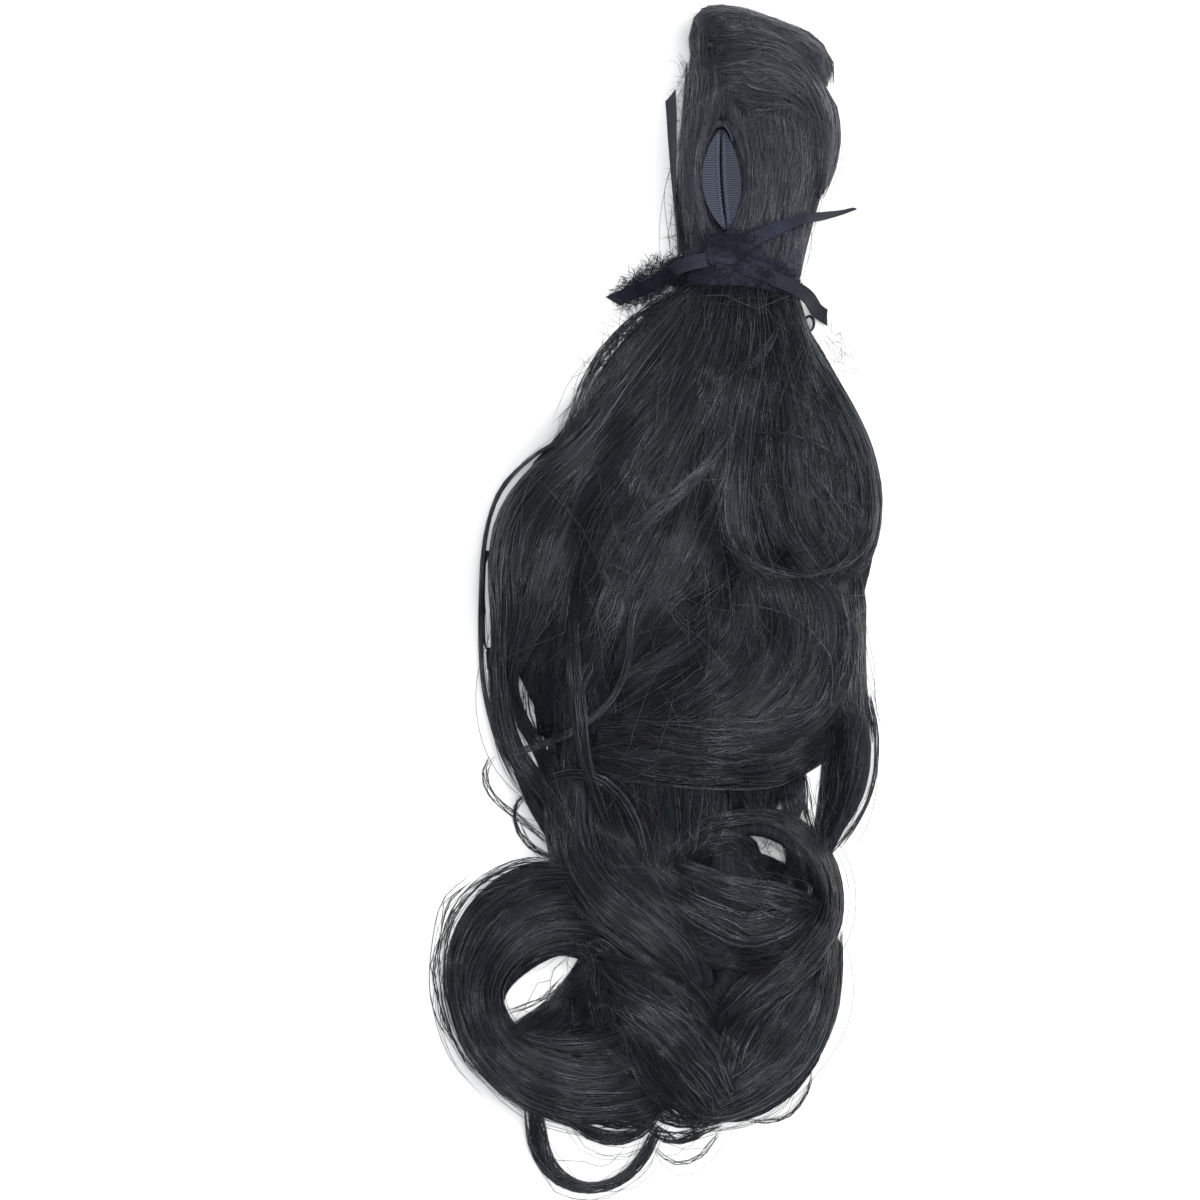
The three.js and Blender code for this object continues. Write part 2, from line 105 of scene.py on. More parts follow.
@dataclass(frozen=True)
class Plan:
    """Turns a place in the picture into a place on the table.

    A picture unit is one pixel of the photograph's frame of 1200 by 1200.
    """

    tie: Vector
    unit: float
    tie_across: float = 742.0
    tie_down: float = 268.0
    HAIR_LENGTH = 1188.0

    @classmethod
    def from_frame(cls, low: Vector, high: Vector) -> Plan:
        """Sets the plan by the tie and by the length of the hair.

        Args:
            low: Lowest corner of the frame.
            high: Highest corner of the frame.

        Returns:
            The plan.
        """
        tie_low, tie_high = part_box("tie_ribbon")
        middle = (tie_low + tie_high) / 2
        return cls(Vector((middle.x, middle.y, 0)), (high.y - low.y) / cls.HAIR_LENGTH)

    def places(self, across: Array, down: Array) -> Array:
        """Gives the x and y of places in the picture.

        Args:
            across: Picture units from the left.
            down: Picture units from the top.

        Returns:
            An array with a row of x and y, in metres, for each place.
        """
        x = self.tie.x + (across - self.tie_across) * self.unit
        y = self.tie.y + (self.tie_down - down) * self.unit
        return np.column_stack([x, y])


class Relief:
    """The height of the frame's solids over the table, smoothed, which the hair is laid on."""

    MARGIN = 24 * MM
    CELL = 2 * MM
    BLUR = 1.7

    def __init__(self, nodes: Sequence[Object], low: Vector, high: Vector) -> None:
        """Measures the solids from above.

        Args:
            nodes: The solids.
            low: Lowest corner of the frame.
            high: Highest corner of the frame.
        """
        self.corner = np.array(low.xy) - self.MARGIN
        far = np.array(high.xy) + self.MARGIN
        self.size = np.ceil((far - self.corner) / self.CELL).astype(int) + 1
        tree = self._tree(nodes)
        down = Vector((0, 0, -1))
        top = high.z + self.MARGIN
        grid = np.zeros(self.size)
        for i in range(self.size[0]):
            for j in range(self.size[1]):
                x, y = self.corner + self.CELL * np.array([i, j])
                hit = tree.ray_cast(Vector((x, y, top)), down)[0]
                grid[i, j] = hit.z if hit else 0.0
        self.grid = self._blurred(grid, self.BLUR)

    @staticmethod
    def _tree(nodes: Sequence[Object]) -> BVHTree:
        """Joins the solids' faces in one search tree.

        Args:
            nodes: The solids.

        Returns:
            The tree.
        """
        points: list[Vector] = []
        faces: list[list[int]] = []
        for node in nodes:
            start = len(points)
            points.extend(v.co.copy() for v in node.data.vertices)
            faces.extend([start + i for i in p.vertices] for p in node.data.polygons)
        return BVHTree.FromPolygons(points, faces)

    @staticmethod
    def _blurred(grid: Array, sigma: float) -> Array:
        """Smooths a grid with a bell curve.

        Args:
            grid: The grid.
            sigma: Width of the bell in cells.

        Returns:
            The smooth grid.
        """
        reach = int(3 * sigma)
        bell = np.exp(-0.5 * (np.arange(-reach, reach + 1) / sigma) ** 2)
        bell /= bell.sum()
        for axis in (0, 1):
            grid = np.apply_along_axis(lambda line: np.convolve(line, bell, "same"), axis, grid)
        return grid

    def height(self, x: Array, y: Array) -> Array:
        """Gives the height at places on the table.

        Args:
            x: Metres along X.
            y: Metres along Y, in the same shape.

        Returns:
            The heights in metres, in that shape.
        """
        i = np.clip((x - self.corner[0]) / self.CELL, 0, self.size[0] - 1.001)
        j = np.clip((y - self.corner[1]) / self.CELL, 0, self.size[1] - 1.001)
        a = i.astype(int)
        b = j.astype(int)
        s = i - a
        t = j - b
        near = self.grid[a, b] * (1 - s) + self.grid[a + 1, b] * s
        far = self.grid[a, b + 1] * (1 - s) + self.grid[a + 1, b + 1] * s
        return near * (1 - t) + far * t


def lengths_along(line: Array) -> Array:
    """Gives the distance of each point of a line from its start."""
    steps = np.linalg.norm(np.diff(line, axis=0), axis=1)
    return np.concatenate([[0], np.cumsum(steps)])


def unit(vectors: Array) -> Array:
    """Scales vectors to length one."""
    return vectors / (np.linalg.norm(vectors, axis=-1, keepdims=True) + TINY)


def beside(way: Array) -> Array:
    """Gives the level direction square to each direction."""
    return unit(np.cross(way, UP))


def ring_way(line: Array) -> Array:
    """Gives the direction at each point of a line that closes on itself."""
    return unit(np.roll(line, -1, axis=0) - np.roll(line, 1, axis=0))


def square_to(way: Array, axis: Row) -> Array:
    """Turns an axis square to each direction."""
    return unit(np.array(axis) - way * (way @ np.array(axis))[:, None])


def full_oval(turn: Array) -> tuple[Array, Array]:
    """Gives the place across and up on a full oval of half sizes one, for angles in radians."""
    c = np.cos(turn)
    s = np.sin(turn)
    return np.sign(c) * np.abs(c) ** (2 / FULLNESS), np.sign(s) * np.abs(s) ** (2 / FULLNESS)


def smooth_line(rows: Array, step: float, measured: int = 2) -> Array:
    """Draws a smooth curve through the rows of a table, with points at equal steps.

    Args:
        rows: A row for each place. The first columns are its coordinates.
        step: Distance between the points that are returned, in metres.
        measured: How many of the columns are coordinates.

    Returns:
        An array with the same columns.
    """
    padded = np.vstack([2 * rows[0] - rows[1], rows, 2 * rows[-1] - rows[-2]])
    fine = []
    for a, b, c, d in zip(padded, padded[1:], padded[2:], padded[3:]):
        for t in np.linspace(0, 1, 12, endpoint=False):
            fine.append(0.5 * (2 * b + (c - a) * t + (2 * a - 5 * b + 4 * c - d) * t ** 2
                               + (3 * b - a - 3 * c + d) * t ** 3))
    fine.append(rows[-1])
    table = np.array(fine)
    along = lengths_along(table[:, :measured])
    count = max(6, int(round(along[-1] / step)) + 1)
    wanted = np.linspace(0, along[-1], count)
    return np.column_stack([np.interp(wanted, along, column) for column in table.T])


# Meshes


def make_object(name: str, points: Array, quads: Array,
                triangles: Array = NO_TRIANGLES) -> Object:
    """Makes a mesh object from arrays.

    Args:
        name: Name of the object and its mesh.
        points: A row of three coordinates for each vertex.
        quads: A row of four vertex numbers for each four sided face.
        triangles: A row of three vertex numbers for each triangle.

    Returns:
        The object, linked to the scene.
    """
    mesh = bpy.data.meshes.new(name)
    corners = np.concatenate([quads.ravel(), triangles.ravel()]).astype(np.int32)
    starts = np.concatenate([np.arange(len(quads)) * 4,
                             len(quads) * 4 + np.arange(len(triangles)) * 3]).astype(np.int32)
    mesh.vertices.add(len(points))
    mesh.vertices.foreach_set("co", points.astype(np.float32).ravel())
    mesh.loops.add(len(corners))
    mesh.loops.foreach_set("vertex_index", corners)
    mesh.polygons.add(len(starts))
    mesh.polygons.foreach_set("loop_start", starts)
    mesh.polygons.foreach_set("use_smooth", np.full(len(starts), True))
    mesh.update(calc_edges=True)
    mesh.validate()
    piece = bpy.data.objects.new(name, mesh)
    bpy.context.scene.collection.objects.link(piece)
    return piece


def set_tone(piece: Object, tones: Array) -> None:
    """Stores a number for each vertex, which the finish reads as its tone."""
    layer = piece.data.attributes.new("tone", "FLOAT", "POINT")
    layer.data.foreach_set("value", tones.astype(np.float32).ravel())


def set_flow(piece: Object, flow: Array) -> None:
    """Stores each vertex's place across and along its lock, which the finish reads for its streaks."""
    layer = piece.data.attributes.new("flow", "FLOAT_VECTOR", "POINT")
    layer.data.foreach_set("vector", flow.astype(np.float32).ravel())


def ring_faces(rings: int, sides: int) -> Array:
    """Gives the four sided faces between rings of vertices that follow each other.

    Args:
        rings: How many rings.
        sides: Vertices in a ring.

    Returns:
        A row of four vertex numbers for each face.
    """
    ring = np.arange(rings - 1)[:, None] * sides
    a = np.arange(sides)[None, :]
    b = (a + 1) % sides
    return np.stack([ring + a, ring + sides + a, ring + sides + b, ring + b], axis=-1).reshape(-1, 4)


def end_fans(rings: int, sides: int) -> Array:
    """Gives the triangles that close both ends of a tube.

    Args:
        rings: How many rings it has.
        sides: Vertices in a ring.

    Returns:
        A row of three vertex numbers for each triangle.
    """
    fan = np.arange(1, sides - 1)
    hub = np.zeros_like(fan)
    first = np.column_stack([hub, fan, fan + 1])
    last = np.column_stack([hub, fan + 1, fan]) + (rings - 1) * sides
    return np.vstack([first, last])


def flat_cap(across: int) -> Array:
    """Gives the faces that close the first ring of a strip, whose points run over its top and back."""
    k = np.arange(across)
    return np.column_stack([k, k + 1, 2 * across - k, 2 * across + 1 - k])


def dress(piece: Object, material: Material, slot: Slot, *nodes: str) -> None:
    """Gives a piece its finish and ties it to the frame.

    Args:
        piece: The piece.
        material: Its finish.
        slot: The record's material slot; not used.
        nodes: The frame's solids that it stands for.
    """
    piece.data.materials.clear()
    piece.data.materials.append(material)
    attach(piece, BODY)
    if nodes:
        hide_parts(*nodes)
    LOG.info("%s: %d faces", piece.name, len(piece.data.polygons))


class Sheaf:
    """Strands of hair, closed tubes of three sides, gathered for one mesh."""

    SIDES = 3

    def __init__(self) -> None:
        """Starts an empty sheaf."""
        self.points: list[Array] = []
        self.quads: list[Array] = []
        self.caps: list[Array] = []
        self.tones: list[Array] = []
        self.start = 0

    def add(self, paths: Array, radii: Array, tones: Array) -> None:
        """Adds strands that have the same number of points.

        Args:
            paths: Places, in the shape strands by points by three.
            radii: Radius at each point, in the shape strands by points.
            tones: A tone for each strand.
        """
        count, steps, _ = paths.shape
        way = unit(np.gradient(paths, axis=1))
        side = beside(way)
        rise = np.cross(side, way)
        corners = []
        for k in range(self.SIDES):
            turn = 2 * math.pi * k / self.SIDES + math.pi / 2
            corners.append(paths + radii[..., None] * (math.cos(turn) * side + math.sin(turn) * rise))
        points = np.stack(corners, axis=2)
        faces = ring_faces(steps, self.SIDES)
        firsts = self.start + np.arange(count)[:, None, None] * steps * self.SIDES
        self.quads.append((firsts + faces[None]).reshape(-1, 4))
        ends = np.array([[0, 1, 2], [2, 1, 0]]) + np.array([[0], [(steps - 1) * self.SIDES]])
        self.caps.append((firsts + ends[None]).reshape(-1, 3))
        self.points.append(points.reshape(-1, 3))
        self.tones.append(np.repeat(tones, steps * self.SIDES))
        self.start += count * steps * self.SIDES

    def triangles(self) -> int:
        """Counts the triangles that the sheaf will have."""
        return sum(2 * len(q) for q in self.quads) + sum(len(c) for c in self.caps)

    def make(self, name: str) -> Object:
        """Makes the sheaf's mesh.

        Args:
            name: Name of the object.

        Returns:
            The object.
        """
        piece = make_object(name, np.concatenate(self.points), np.concatenate(self.quads),
                            np.concatenate(self.caps))
        set_tone(piece, np.concatenate(self.tones))
        return piece


# Shaders


class Value:
    """A socket of a material, on which sums are written as Python expressions."""

    def __init__(self, graph: Graph, socket: bpy.types.NodeSocket) -> None:
        """Wraps a socket of a graph."""
        self.graph = graph
        self.socket = socket

    def _sum(self, operation: str, first: Value | float, second: Value | float) -> Value:
        """Adds a Math node.

        Args:
            operation: The node's operation.
            first: Its first value.
            second: Its second value.

        Returns:
            The result.
        """
        return self.graph.node("ShaderNodeMath", {"operation": operation}, {0: first, 1: second})

    def __add__(self, other: Value | float) -> Value:
        """Adds."""
        return self._sum("ADD", self, other)

    __radd__ = __add__

    def __sub__(self, other: Value | float) -> Value:
        """Subtracts."""
        return self._sum("SUBTRACT", self, other)

    def __rsub__(self, other: float) -> Value:
        """Subtracts this from a number."""
        return self._sum("SUBTRACT", other, self)

    def __mul__(self, other: Value | float) -> Value:
        """Multiplies."""
        return self._sum("MULTIPLY", self, other)

    __rmul__ = __mul__


class Graph:
    """The nodes of one material."""

    def __init__(self, name: str) -> None:
        """Starts a material with an empty tree."""
        self.material = bpy.data.materials.new(name)
        self.material.use_nodes = True
        self.tree = self.material.node_tree
        self.tree.nodes.clear()

    def node(self, kind: str, settings: dict[str, object] | None = None,
             sockets: dict[str | int, object] | None = None, out: str | int = 0) -> Value:
        """Adds a node.

        Args:
            kind: The node's type.
            settings: Its settings. The key stops gives a ramp's places and colours.
            sockets: Values or links of its sockets, by name or number.
            out: Which output is returned.

        Returns:
            That output.
        """
        made = self.tree.nodes.new(kind)
        for key, value in (settings or {}).items():
            if key == "stops":
                self._set_stops(made.color_ramp, value)
            else:
                setattr(made, key, value)
        for key, value in (sockets or {}).items():
            if isinstance(value, Value):
                self.tree.links.new(value.socket, made.inputs[key])
            else:
                made.inputs[key].default_value = value
        return Value(self, made.outputs[out] if len(made.outputs) else None)

    @staticmethod
    def _set_stops(ramp: bpy.types.ColorRamp, stops: Stops) -> None:
        """Sets the stops of a ramp.

        Args:
            ramp: The ramp.
            stops: Place and colour of each stop.
        """
        while len(ramp.elements) < len(stops):
            ramp.elements.new(1.0)
        for element, (place, colour) in zip(ramp.elements, stops):
            element.position = place
            element.color = (*colour, 1.0)

    def attribute(self, name: str, out: str) -> Value:
        """Reads a number or vector that the mesh stores."""
        return self.node("ShaderNodeAttribute", {"attribute_name": name}, out=out)

    def place(self) -> Value:
        """Gives the place on the object, in metres."""
        return self.node("ShaderNodeTexCoord", out="Object")

    def scaled(self, vector: Value, factors: Row) -> Value:
        """Multiplies a vector by three factors.

        Args:
            vector: The vector.
            factors: The factors.

        Returns:
            The product.
        """
        return self.node("ShaderNodeVectorMath", {"operation": "MULTIPLY"}, {0: vector, 1: factors})

    def noise(self, vector: Value, scale: float, detail: float = 2.0) -> Value:
        """Gives noise from 0 to 1.

        Args:
            vector: Where it is read.
            scale: Its fineness.
            detail: Its octaves.

        Returns:
            The noise.
        """
        return self.node("ShaderNodeTexNoise", {"noise_dimensions": "3D"},
                         {"Vector": vector, "Scale": scale, "Detail": detail}, out=0)

    def ramp(self, stops: Stops, factor: Value) -> Value:
        """Turns a number into a colour.

        Args:
            stops: Place and colour of each stop.
            factor: The number.

        Returns:
            The colour.
        """
        return self.node("ShaderNodeValToRGB", {"stops": stops}, {"Fac": factor}, out="Color")

    def bump(self, height: Value, strength: float, distance: float) -> Value:
        """Raises the surface a little.

        Args:
            height: The pattern that raises it.
            strength: How much of it is used.
            distance: Its full height in metres.

        Returns:
            The normal.
        """
        return self.node("ShaderNodeBump", {},
                         {"Strength": strength, "Distance": distance, "Height": height})

    def finish(self, sockets: dict[str | int, object]) -> Material:
        """Ends the graph in a surface.

        Args:
            sockets: Values and links of the surface shader.

        Returns:
            The material.
        """
        surface = self.node("ShaderNodeBsdfPrincipled", {}, sockets)
        self.node("ShaderNodeOutputMaterial", {}, {"Surface": surface})
        return self.material


@dataclass(frozen=True)
class StrandFinish:
    """Loose synthetic hair: near black, each strand with its own brown, green or navy cast."""

    name: str
    stops: Stops = (
        (0.0, (0.0070, 0.0080, 0.0130)),
        (0.22, (0.0105, 0.0122, 0.0190)),
        (0.42, (0.0240, 0.0195, 0.0210)),
        (0.6, (0.0175, 0.0240, 0.0255)),
        (0.78, (0.0280, 0.0305, 0.0375)),
        # The palest stop: a pale strand tone, and the colour of the painted highlight locks, drawn at tone
        # 1.0.
        (1.0, (0.1000, 0.1050, 0.1160)),
    )
    roughness: float = 0.36
    gleam: float = 0.36
    sheen: Row = (0.86, 0.94, 1.0, 1.0)
    patch_scale: float = 26.0
    glint_scale: float = 900.0

    def make(self) -> Material:
        """Makes the material."""
        graph = Graph(self.name)
        tone = graph.attribute("tone", "Fac")
        patch = graph.noise(graph.place(), self.patch_scale, 3.0)
        glint = graph.noise(graph.place(), self.glint_scale, 1.0)
        colour = graph.ramp(self.stops, tone * 0.85 + patch * 0.36 - 0.1)
        rough = glint * 0.12 - tone * 0.2 + (self.roughness - 0.02)
        return graph.finish({"Base Color": colour, "Roughness": rough,
                             "Specular IOR Level": self.gleam, "Specular Tint": self.sheen})


MILKY_STOPS: Stops = (
    (0.0, (0.0360, 0.0375, 0.0460)),
    (0.25, (0.0440, 0.0455, 0.0560)),
    (0.5, (0.0550, 0.0540, 0.0650)),
    (0.75, (0.0620, 0.0645, 0.0770)),
    # The palest stop: a pale strand tone, and the colour of the base's painted highlight locks, drawn at
    # tone 1.0.
    (1.0, (0.1060, 0.1090, 0.1220)),
)


@dataclass(frozen=True)
class LockFinish:
    """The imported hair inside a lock: dark, with fine streaks along it."""

    name: str
    dark: Row = (0.0090, 0.0100, 0.0135)
    pale: Row = (0.0290, 0.0310, 0.0370)
    streaks: float = 3200.0
    streak_run: float = 42.0
    roughness: float = 0.42
    gleam: float = 0.15
    depth: float = 0.35

    def make(self) -> Material:
        """Makes the material."""
        graph = Graph(self.name)
        flow = graph.attribute("flow", "Vector")
        streak = graph.noise(graph.scaled(flow, (self.streaks, self.streak_run, 1.0)), 1.0, 3.0)
        colour = graph.ramp(((0.35, self.dark), (0.75, self.pale)), streak)
        bump = graph.bump(streak, self.depth, 0.4 * MM)
        return graph.finish({"Base Color": colour, "Roughness": streak * 0.2 + (self.roughness - 0.1),
                             "Specular IOR Level": self.gleam, "Normal": bump})


@dataclass(frozen=True)
class CoreFinish:
    """The depth of the hair, seen only between the locks."""

    name: str
    dark: Row = (0.0075, 0.0083, 0.0110)
    pale: Row = (0.0240, 0.0255, 0.0305)
    streaks: Row = (1500.0, 90.0, 400.0)
    roughness: float = 0.6
    gleam: float = 0.12
    depth: float = 0.5

    def make(self) -> Material:
        """Makes the material."""
        graph = Graph(self.name)
        streak = graph.noise(graph.scaled(graph.place(), self.streaks), 1.0, 3.0)
        colour = graph.ramp(((0.4, self.dark), (0.8, self.pale)), streak)
        return graph.finish({"Base Color": colour, "Roughness": self.roughness,
                             "Specular IOR Level": self.gleam,
                             "Normal": graph.bump(streak, self.depth, 0.5 * MM)})


@dataclass(frozen=True)
class SatinFinish:
    """Narrow satin ribbon: smooth, with fine ribs across and a soft gleam."""

    name: str
    dark: Row = (0.0130, 0.0145, 0.0200)
    pale: Row = (0.0240, 0.0260, 0.0330)
    ribs: float = 5200.0
    clouds: float = 160.0
    roughness: float = 0.58
    gleam: float = 0.12
    depth: float = 0.25

    def make(self) -> Material:
        """Makes the material."""
        graph = Graph(self.name)
        flow = graph.attribute("flow", "Vector")
        weave = graph.noise(graph.scaled(flow, (self.ribs * 0.3, self.ribs, 1.0)), 1.0, 2.0)
        cloud = graph.noise(graph.place(), self.clouds, 2.0)
        colour = graph.ramp(((0.3, self.dark), (0.8, self.pale)), weave * 0.6 + cloud * 0.5)
        return graph.finish({"Base Color": colour, "Roughness": cloud * 0.16 + (self.roughness - 0.08),
                             "Specular IOR Level": self.gleam,
                             "Normal": graph.bump(weave, self.depth, 0.1 * MM)})


@dataclass(frozen=True)
class TapeFinish:
    """Slate blue woven tape, ribbed across."""

    name: str
    dark: Row = (0.012, 0.014, 0.023)
    pale: Row = (0.072, 0.078, 0.105)
    ribs: float = 300.0
    threads: Row = (2200.0, 5200.0, 1.0)
    roughness: float = 0.66
    gleam: float = 0.25
    depth: float = 0.6

    def make(self) -> Material:
        """Makes the material."""
        graph = Graph(self.name)
        flow = graph.attribute("flow", "Vector")
        rib = graph.node("ShaderNodeTexWave", {"bands_direction": "Y"},
                         {"Vector": flow, "Scale": self.ribs, "Distortion": 2.4, "Detail": 1.0},
                         out="Fac")
        thread = graph.noise(graph.scaled(flow, self.threads), 1.0, 2.0)
        colour = graph.ramp(((0.2, self.dark), (0.85, self.pale)), rib * 0.55 + thread * 0.5)
        bump = graph.bump(rib * 0.7 + thread * 0.3, self.depth, 0.25 * MM)
        return graph.finish({"Base Color": colour, "Roughness": thread * 0.2 + (self.roughness - 0.1),
                             "Specular IOR Level": self.gleam, "Normal": bump})


@dataclass(frozen=True)
class ThreadFinish:
    """Pale blue grey sewing thread."""

    name: str
    colour: Row = (0.10, 0.12, 0.17)
    twists: float = 2600.0

    def make(self) -> Material:
        """Makes the material."""
        graph = Graph(self.name)
        twist = graph.noise(graph.place(), self.twists, 1.0)
        paler = tuple(1.6 * part for part in self.colour)
        colour = graph.ramp(((0.3, self.colour), (0.8, paler)), twist)
        return graph.finish({"Base Color": colour, "Roughness": twist * 0.2 + 0.45})


@dataclass(frozen=True)
class FeltFinish:
    """The matt navy fuzz of the tie."""

    name: str
    dark: Row = (0.0120, 0.0135, 0.0215)
    pale: Row = (0.0420, 0.0450, 0.0680)
    fibres: float = 1400.0
    clouds: float = 120.0
    roughness: float = 0.8
    gleam: float = 0.2
    depth: float = 0.6

    def make(self) -> Material:
        """Makes the material."""
        graph = Graph(self.name)
        fuzz = graph.noise(graph.place(), self.fibres, 3.0)
        cloud = graph.noise(graph.place(), self.clouds, 2.0)
        colour = graph.ramp(((0.35, self.dark), (0.8, self.pale)), fuzz * 0.7 + cloud * 0.35)
        return graph.finish({"Base Color": colour, "Roughness": self.roughness,
                             "Specular IOR Level": self.gleam,
                             "Normal": graph.bump(fuzz, self.depth, 0.4 * MM)})


@dataclass(frozen=True)
class FloorFinish:
    """A plain pale table top."""

    name: str
    colour: Row = (0.93, 0.93, 0.925)

    def make(self) -> Material:
        """Makes the material."""
        graph = Graph(self.name)
        return graph.finish({"Base Color": (*self.colour, 1.0), "Roughness": 0.8,
                             "Specular IOR Level": 0.2})


# Locks of hair


@dataclass(frozen=True)
class Lock:
    """One lock of hair.

    A row is a place along its middle: across and down in picture units, its lift over the relief in lift
    steps, its width in picture units, and its thickness in thickness steps.
    """

    rows: tuple[Row, ...]
    cover: float = 2.0
    wander: float = 0.10
    radius: float = 0.2 * MM
    splay: float = 0.25
    layers: float = 0.9 * MM
    strays: int = 3
    body: bool = True
    tone: float = 0.5
    veil: float = 0.1
    mottle: float = 0.09
    inner: float = 0.86


@dataclass(frozen=True)
class Fuzz:
    """A zone of short curled hairs.

    A row is a place along its middle: across and down in picture units, its height over the relief in mm
    and its width in picture units.
    """

    rows: tuple[Row, ...]
    count: int
    length: float = 6 * MM
    radius: float = 0.09 * MM
    heading: float = 90.0
    scatter: float = 0.6
    curl: float = 0.18
    rise: float = 1.2 * MM
    tone: float = 0.6


class Comb:
    """Lays locks on the relief: their packed inside and their strands.

    The shares are of a lock's length. The waves are how often a clump, and a strand in it, drift from side
    to side of the lock, in half turns.
    """

    UNDER = 28.0
    BODY_SIDES = 18
    BODY_DROP = 0.4 * MM
    ROUND_END = 0.07
    START_SHARE = 0.08
    END_SHARE = 0.86
    LATE_PART = 0.35
    LATE_SHARE = 0.5
    SLOW_WAVE = 2.6
    QUICK_WAVE = 6.0
    OWN_WAVE = 7.0
    RIPPLE_PITCH = (28 * MM, 44 * MM)
    THINNEST_END = 0.12
    STRAY_THIN = 0.55
    PALE_STEP = 0.45
    CURL_STEP = 5 * MM
    STEP = 7.4 * MM
    SPACING = 0.5 * MM
    SWELL = 0.9 * MM
    RIPPLE = 0.36 * MM
    PALE_SHARE = 0.1
    STRAY_LIMIT = 9 * MM
    CLUMP = 5
    LIFT_STEP = 0.6 * MM
    THICK_STEP = 0.7 * MM

    def __init__(self, plan: Plan, relief: Relief, seed: int) -> None:
        """Keeps the plan, the relief and a seeded source of chance."""
        self.plan = plan
        self.relief = relief
        self.chance = np.random.default_rng(seed)

    def line(self, lock: Lock) -> Array:
        """Draws the middle line of a lock.

        Args:
            lock: The lock.

        Returns:
            Rows of x, y, lift, width and thickness, in metres.
        """
        rows = np.array(lock.rows, float)
        table = np.column_stack([self.plan.places(rows[:, 0], rows[:, 1]),
                                 rows[:, 2] * self.LIFT_STEP, rows[:, 3] * self.plan.unit,
                                 rows[:, 4] * self.THICK_STEP])
        return smooth_line(table, self.STEP)

    @staticmethod
    def sides(line: Array) -> Array:
        """Gives the level direction square to a line, at each of its points.

        Args:
            line: The line.

        Returns:
            Rows of x and y, of length one.
        """
        way = unit(np.gradient(line[:, :2], axis=0))
        return np.column_stack([way[:, 1], -way[:, 0]])

    def seats(self, wide: float, thick: float) -> tuple[Array, Array]:
        """Measures the shown part of a lock's outline, so that strands can be spread evenly on it.

        Args:
            wide: Mean width of the lock.
            thick: Mean thickness.

        Returns:
            Shares of the outline's length from 0 to 1, and the angle at each.
        """
        under = math.radians(self.UNDER)
        turn = np.linspace(-under, math.pi + under, 90)
        across, up = full_oval(turn)
        outline = np.column_stack([across * wide / 2, up * thick / 2])
        along = lengths_along(outline)
        return along / along[-1], turn

    def body(self, lock: Lock) -> tuple[Array, Array, Array, Array]:
        """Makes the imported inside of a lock.

        Args:
            lock: The lock.

        Returns:
            Its points, quads and triangles, and the flow at each point.
        """
        line = self.line(lock)
        count = len(line)
        share = np.linspace(0, 1, count)
        near_end = (1 - np.minimum(share, 1 - share) / self.ROUND_END).clip(0)
        close = lock.inner * np.sqrt(np.clip(1 - near_end ** 2, 0.02, 1))
        turn = np.linspace(0, 2 * math.pi, self.BODY_SIDES, endpoint=False)
        across, up = full_oval(turn)
        side = self.sides(line)
        half = line[:, 3] / 2 * close
        rise = line[:, 4] / 2 * close
        x = line[:, 0, None] + side[:, 0, None] * half[:, None] * across
        y = line[:, 1, None] + side[:, 1, None] * half[:, None] * across
        top = self.relief.height(x, y) + line[:, 2, None] - self.BODY_DROP
        z = top - line[:, 4, None] / 2 + rise[:, None] * up
        z = np.maximum(z, self.BODY_DROP * (1 + (up + 1) / 2))
        points = np.stack([x, y, z], axis=-1).reshape(-1, 3)
        run = lengths_along(line[:, :2])
        girth = (turn / (2 * math.pi) - 0.5) * 2 * line[:, 3].mean()
        flow = np.stack([np.broadcast_to(np.abs(girth), x.shape),
                         np.broadcast_to(run[:, None], x.shape),
                         np.zeros(x.shape)], axis=-1).reshape(-1, 3)
        return points, ring_faces(count, self.BODY_SIDES), end_fans(count, self.BODY_SIDES), flow

    def strands(self, lock: Lock, sheaf: Sheaf) -> None:
        """Combs the strands of a lock into a sheaf.

        Args:
            lock: The lock.
            sheaf: The sheaf that they go into.
        """
        line = self.line(lock)
        wide = float(line[:, 3].mean())
        thick = float(line[:, 4].mean())
        spread = self.seats(wide, thick)
        count = max(3, int(lock.cover * (wide + thick) / self.SPACING))
        self._comb(lock, line, sheaf, count, spread)
        veil = replace(lock, wander=lock.wander * 3.5 + 0.25, radius=lock.radius * 0.6,
                       layers=lock.layers * 1.9, tone=min(1.0, lock.tone + 0.4))
        self._comb(veil, line, sheaf, max(2, int(count * lock.veil)), spread)
        if lock.strays:
            self._comb(lock, line, sheaf, lock.strays, spread, stray=True)

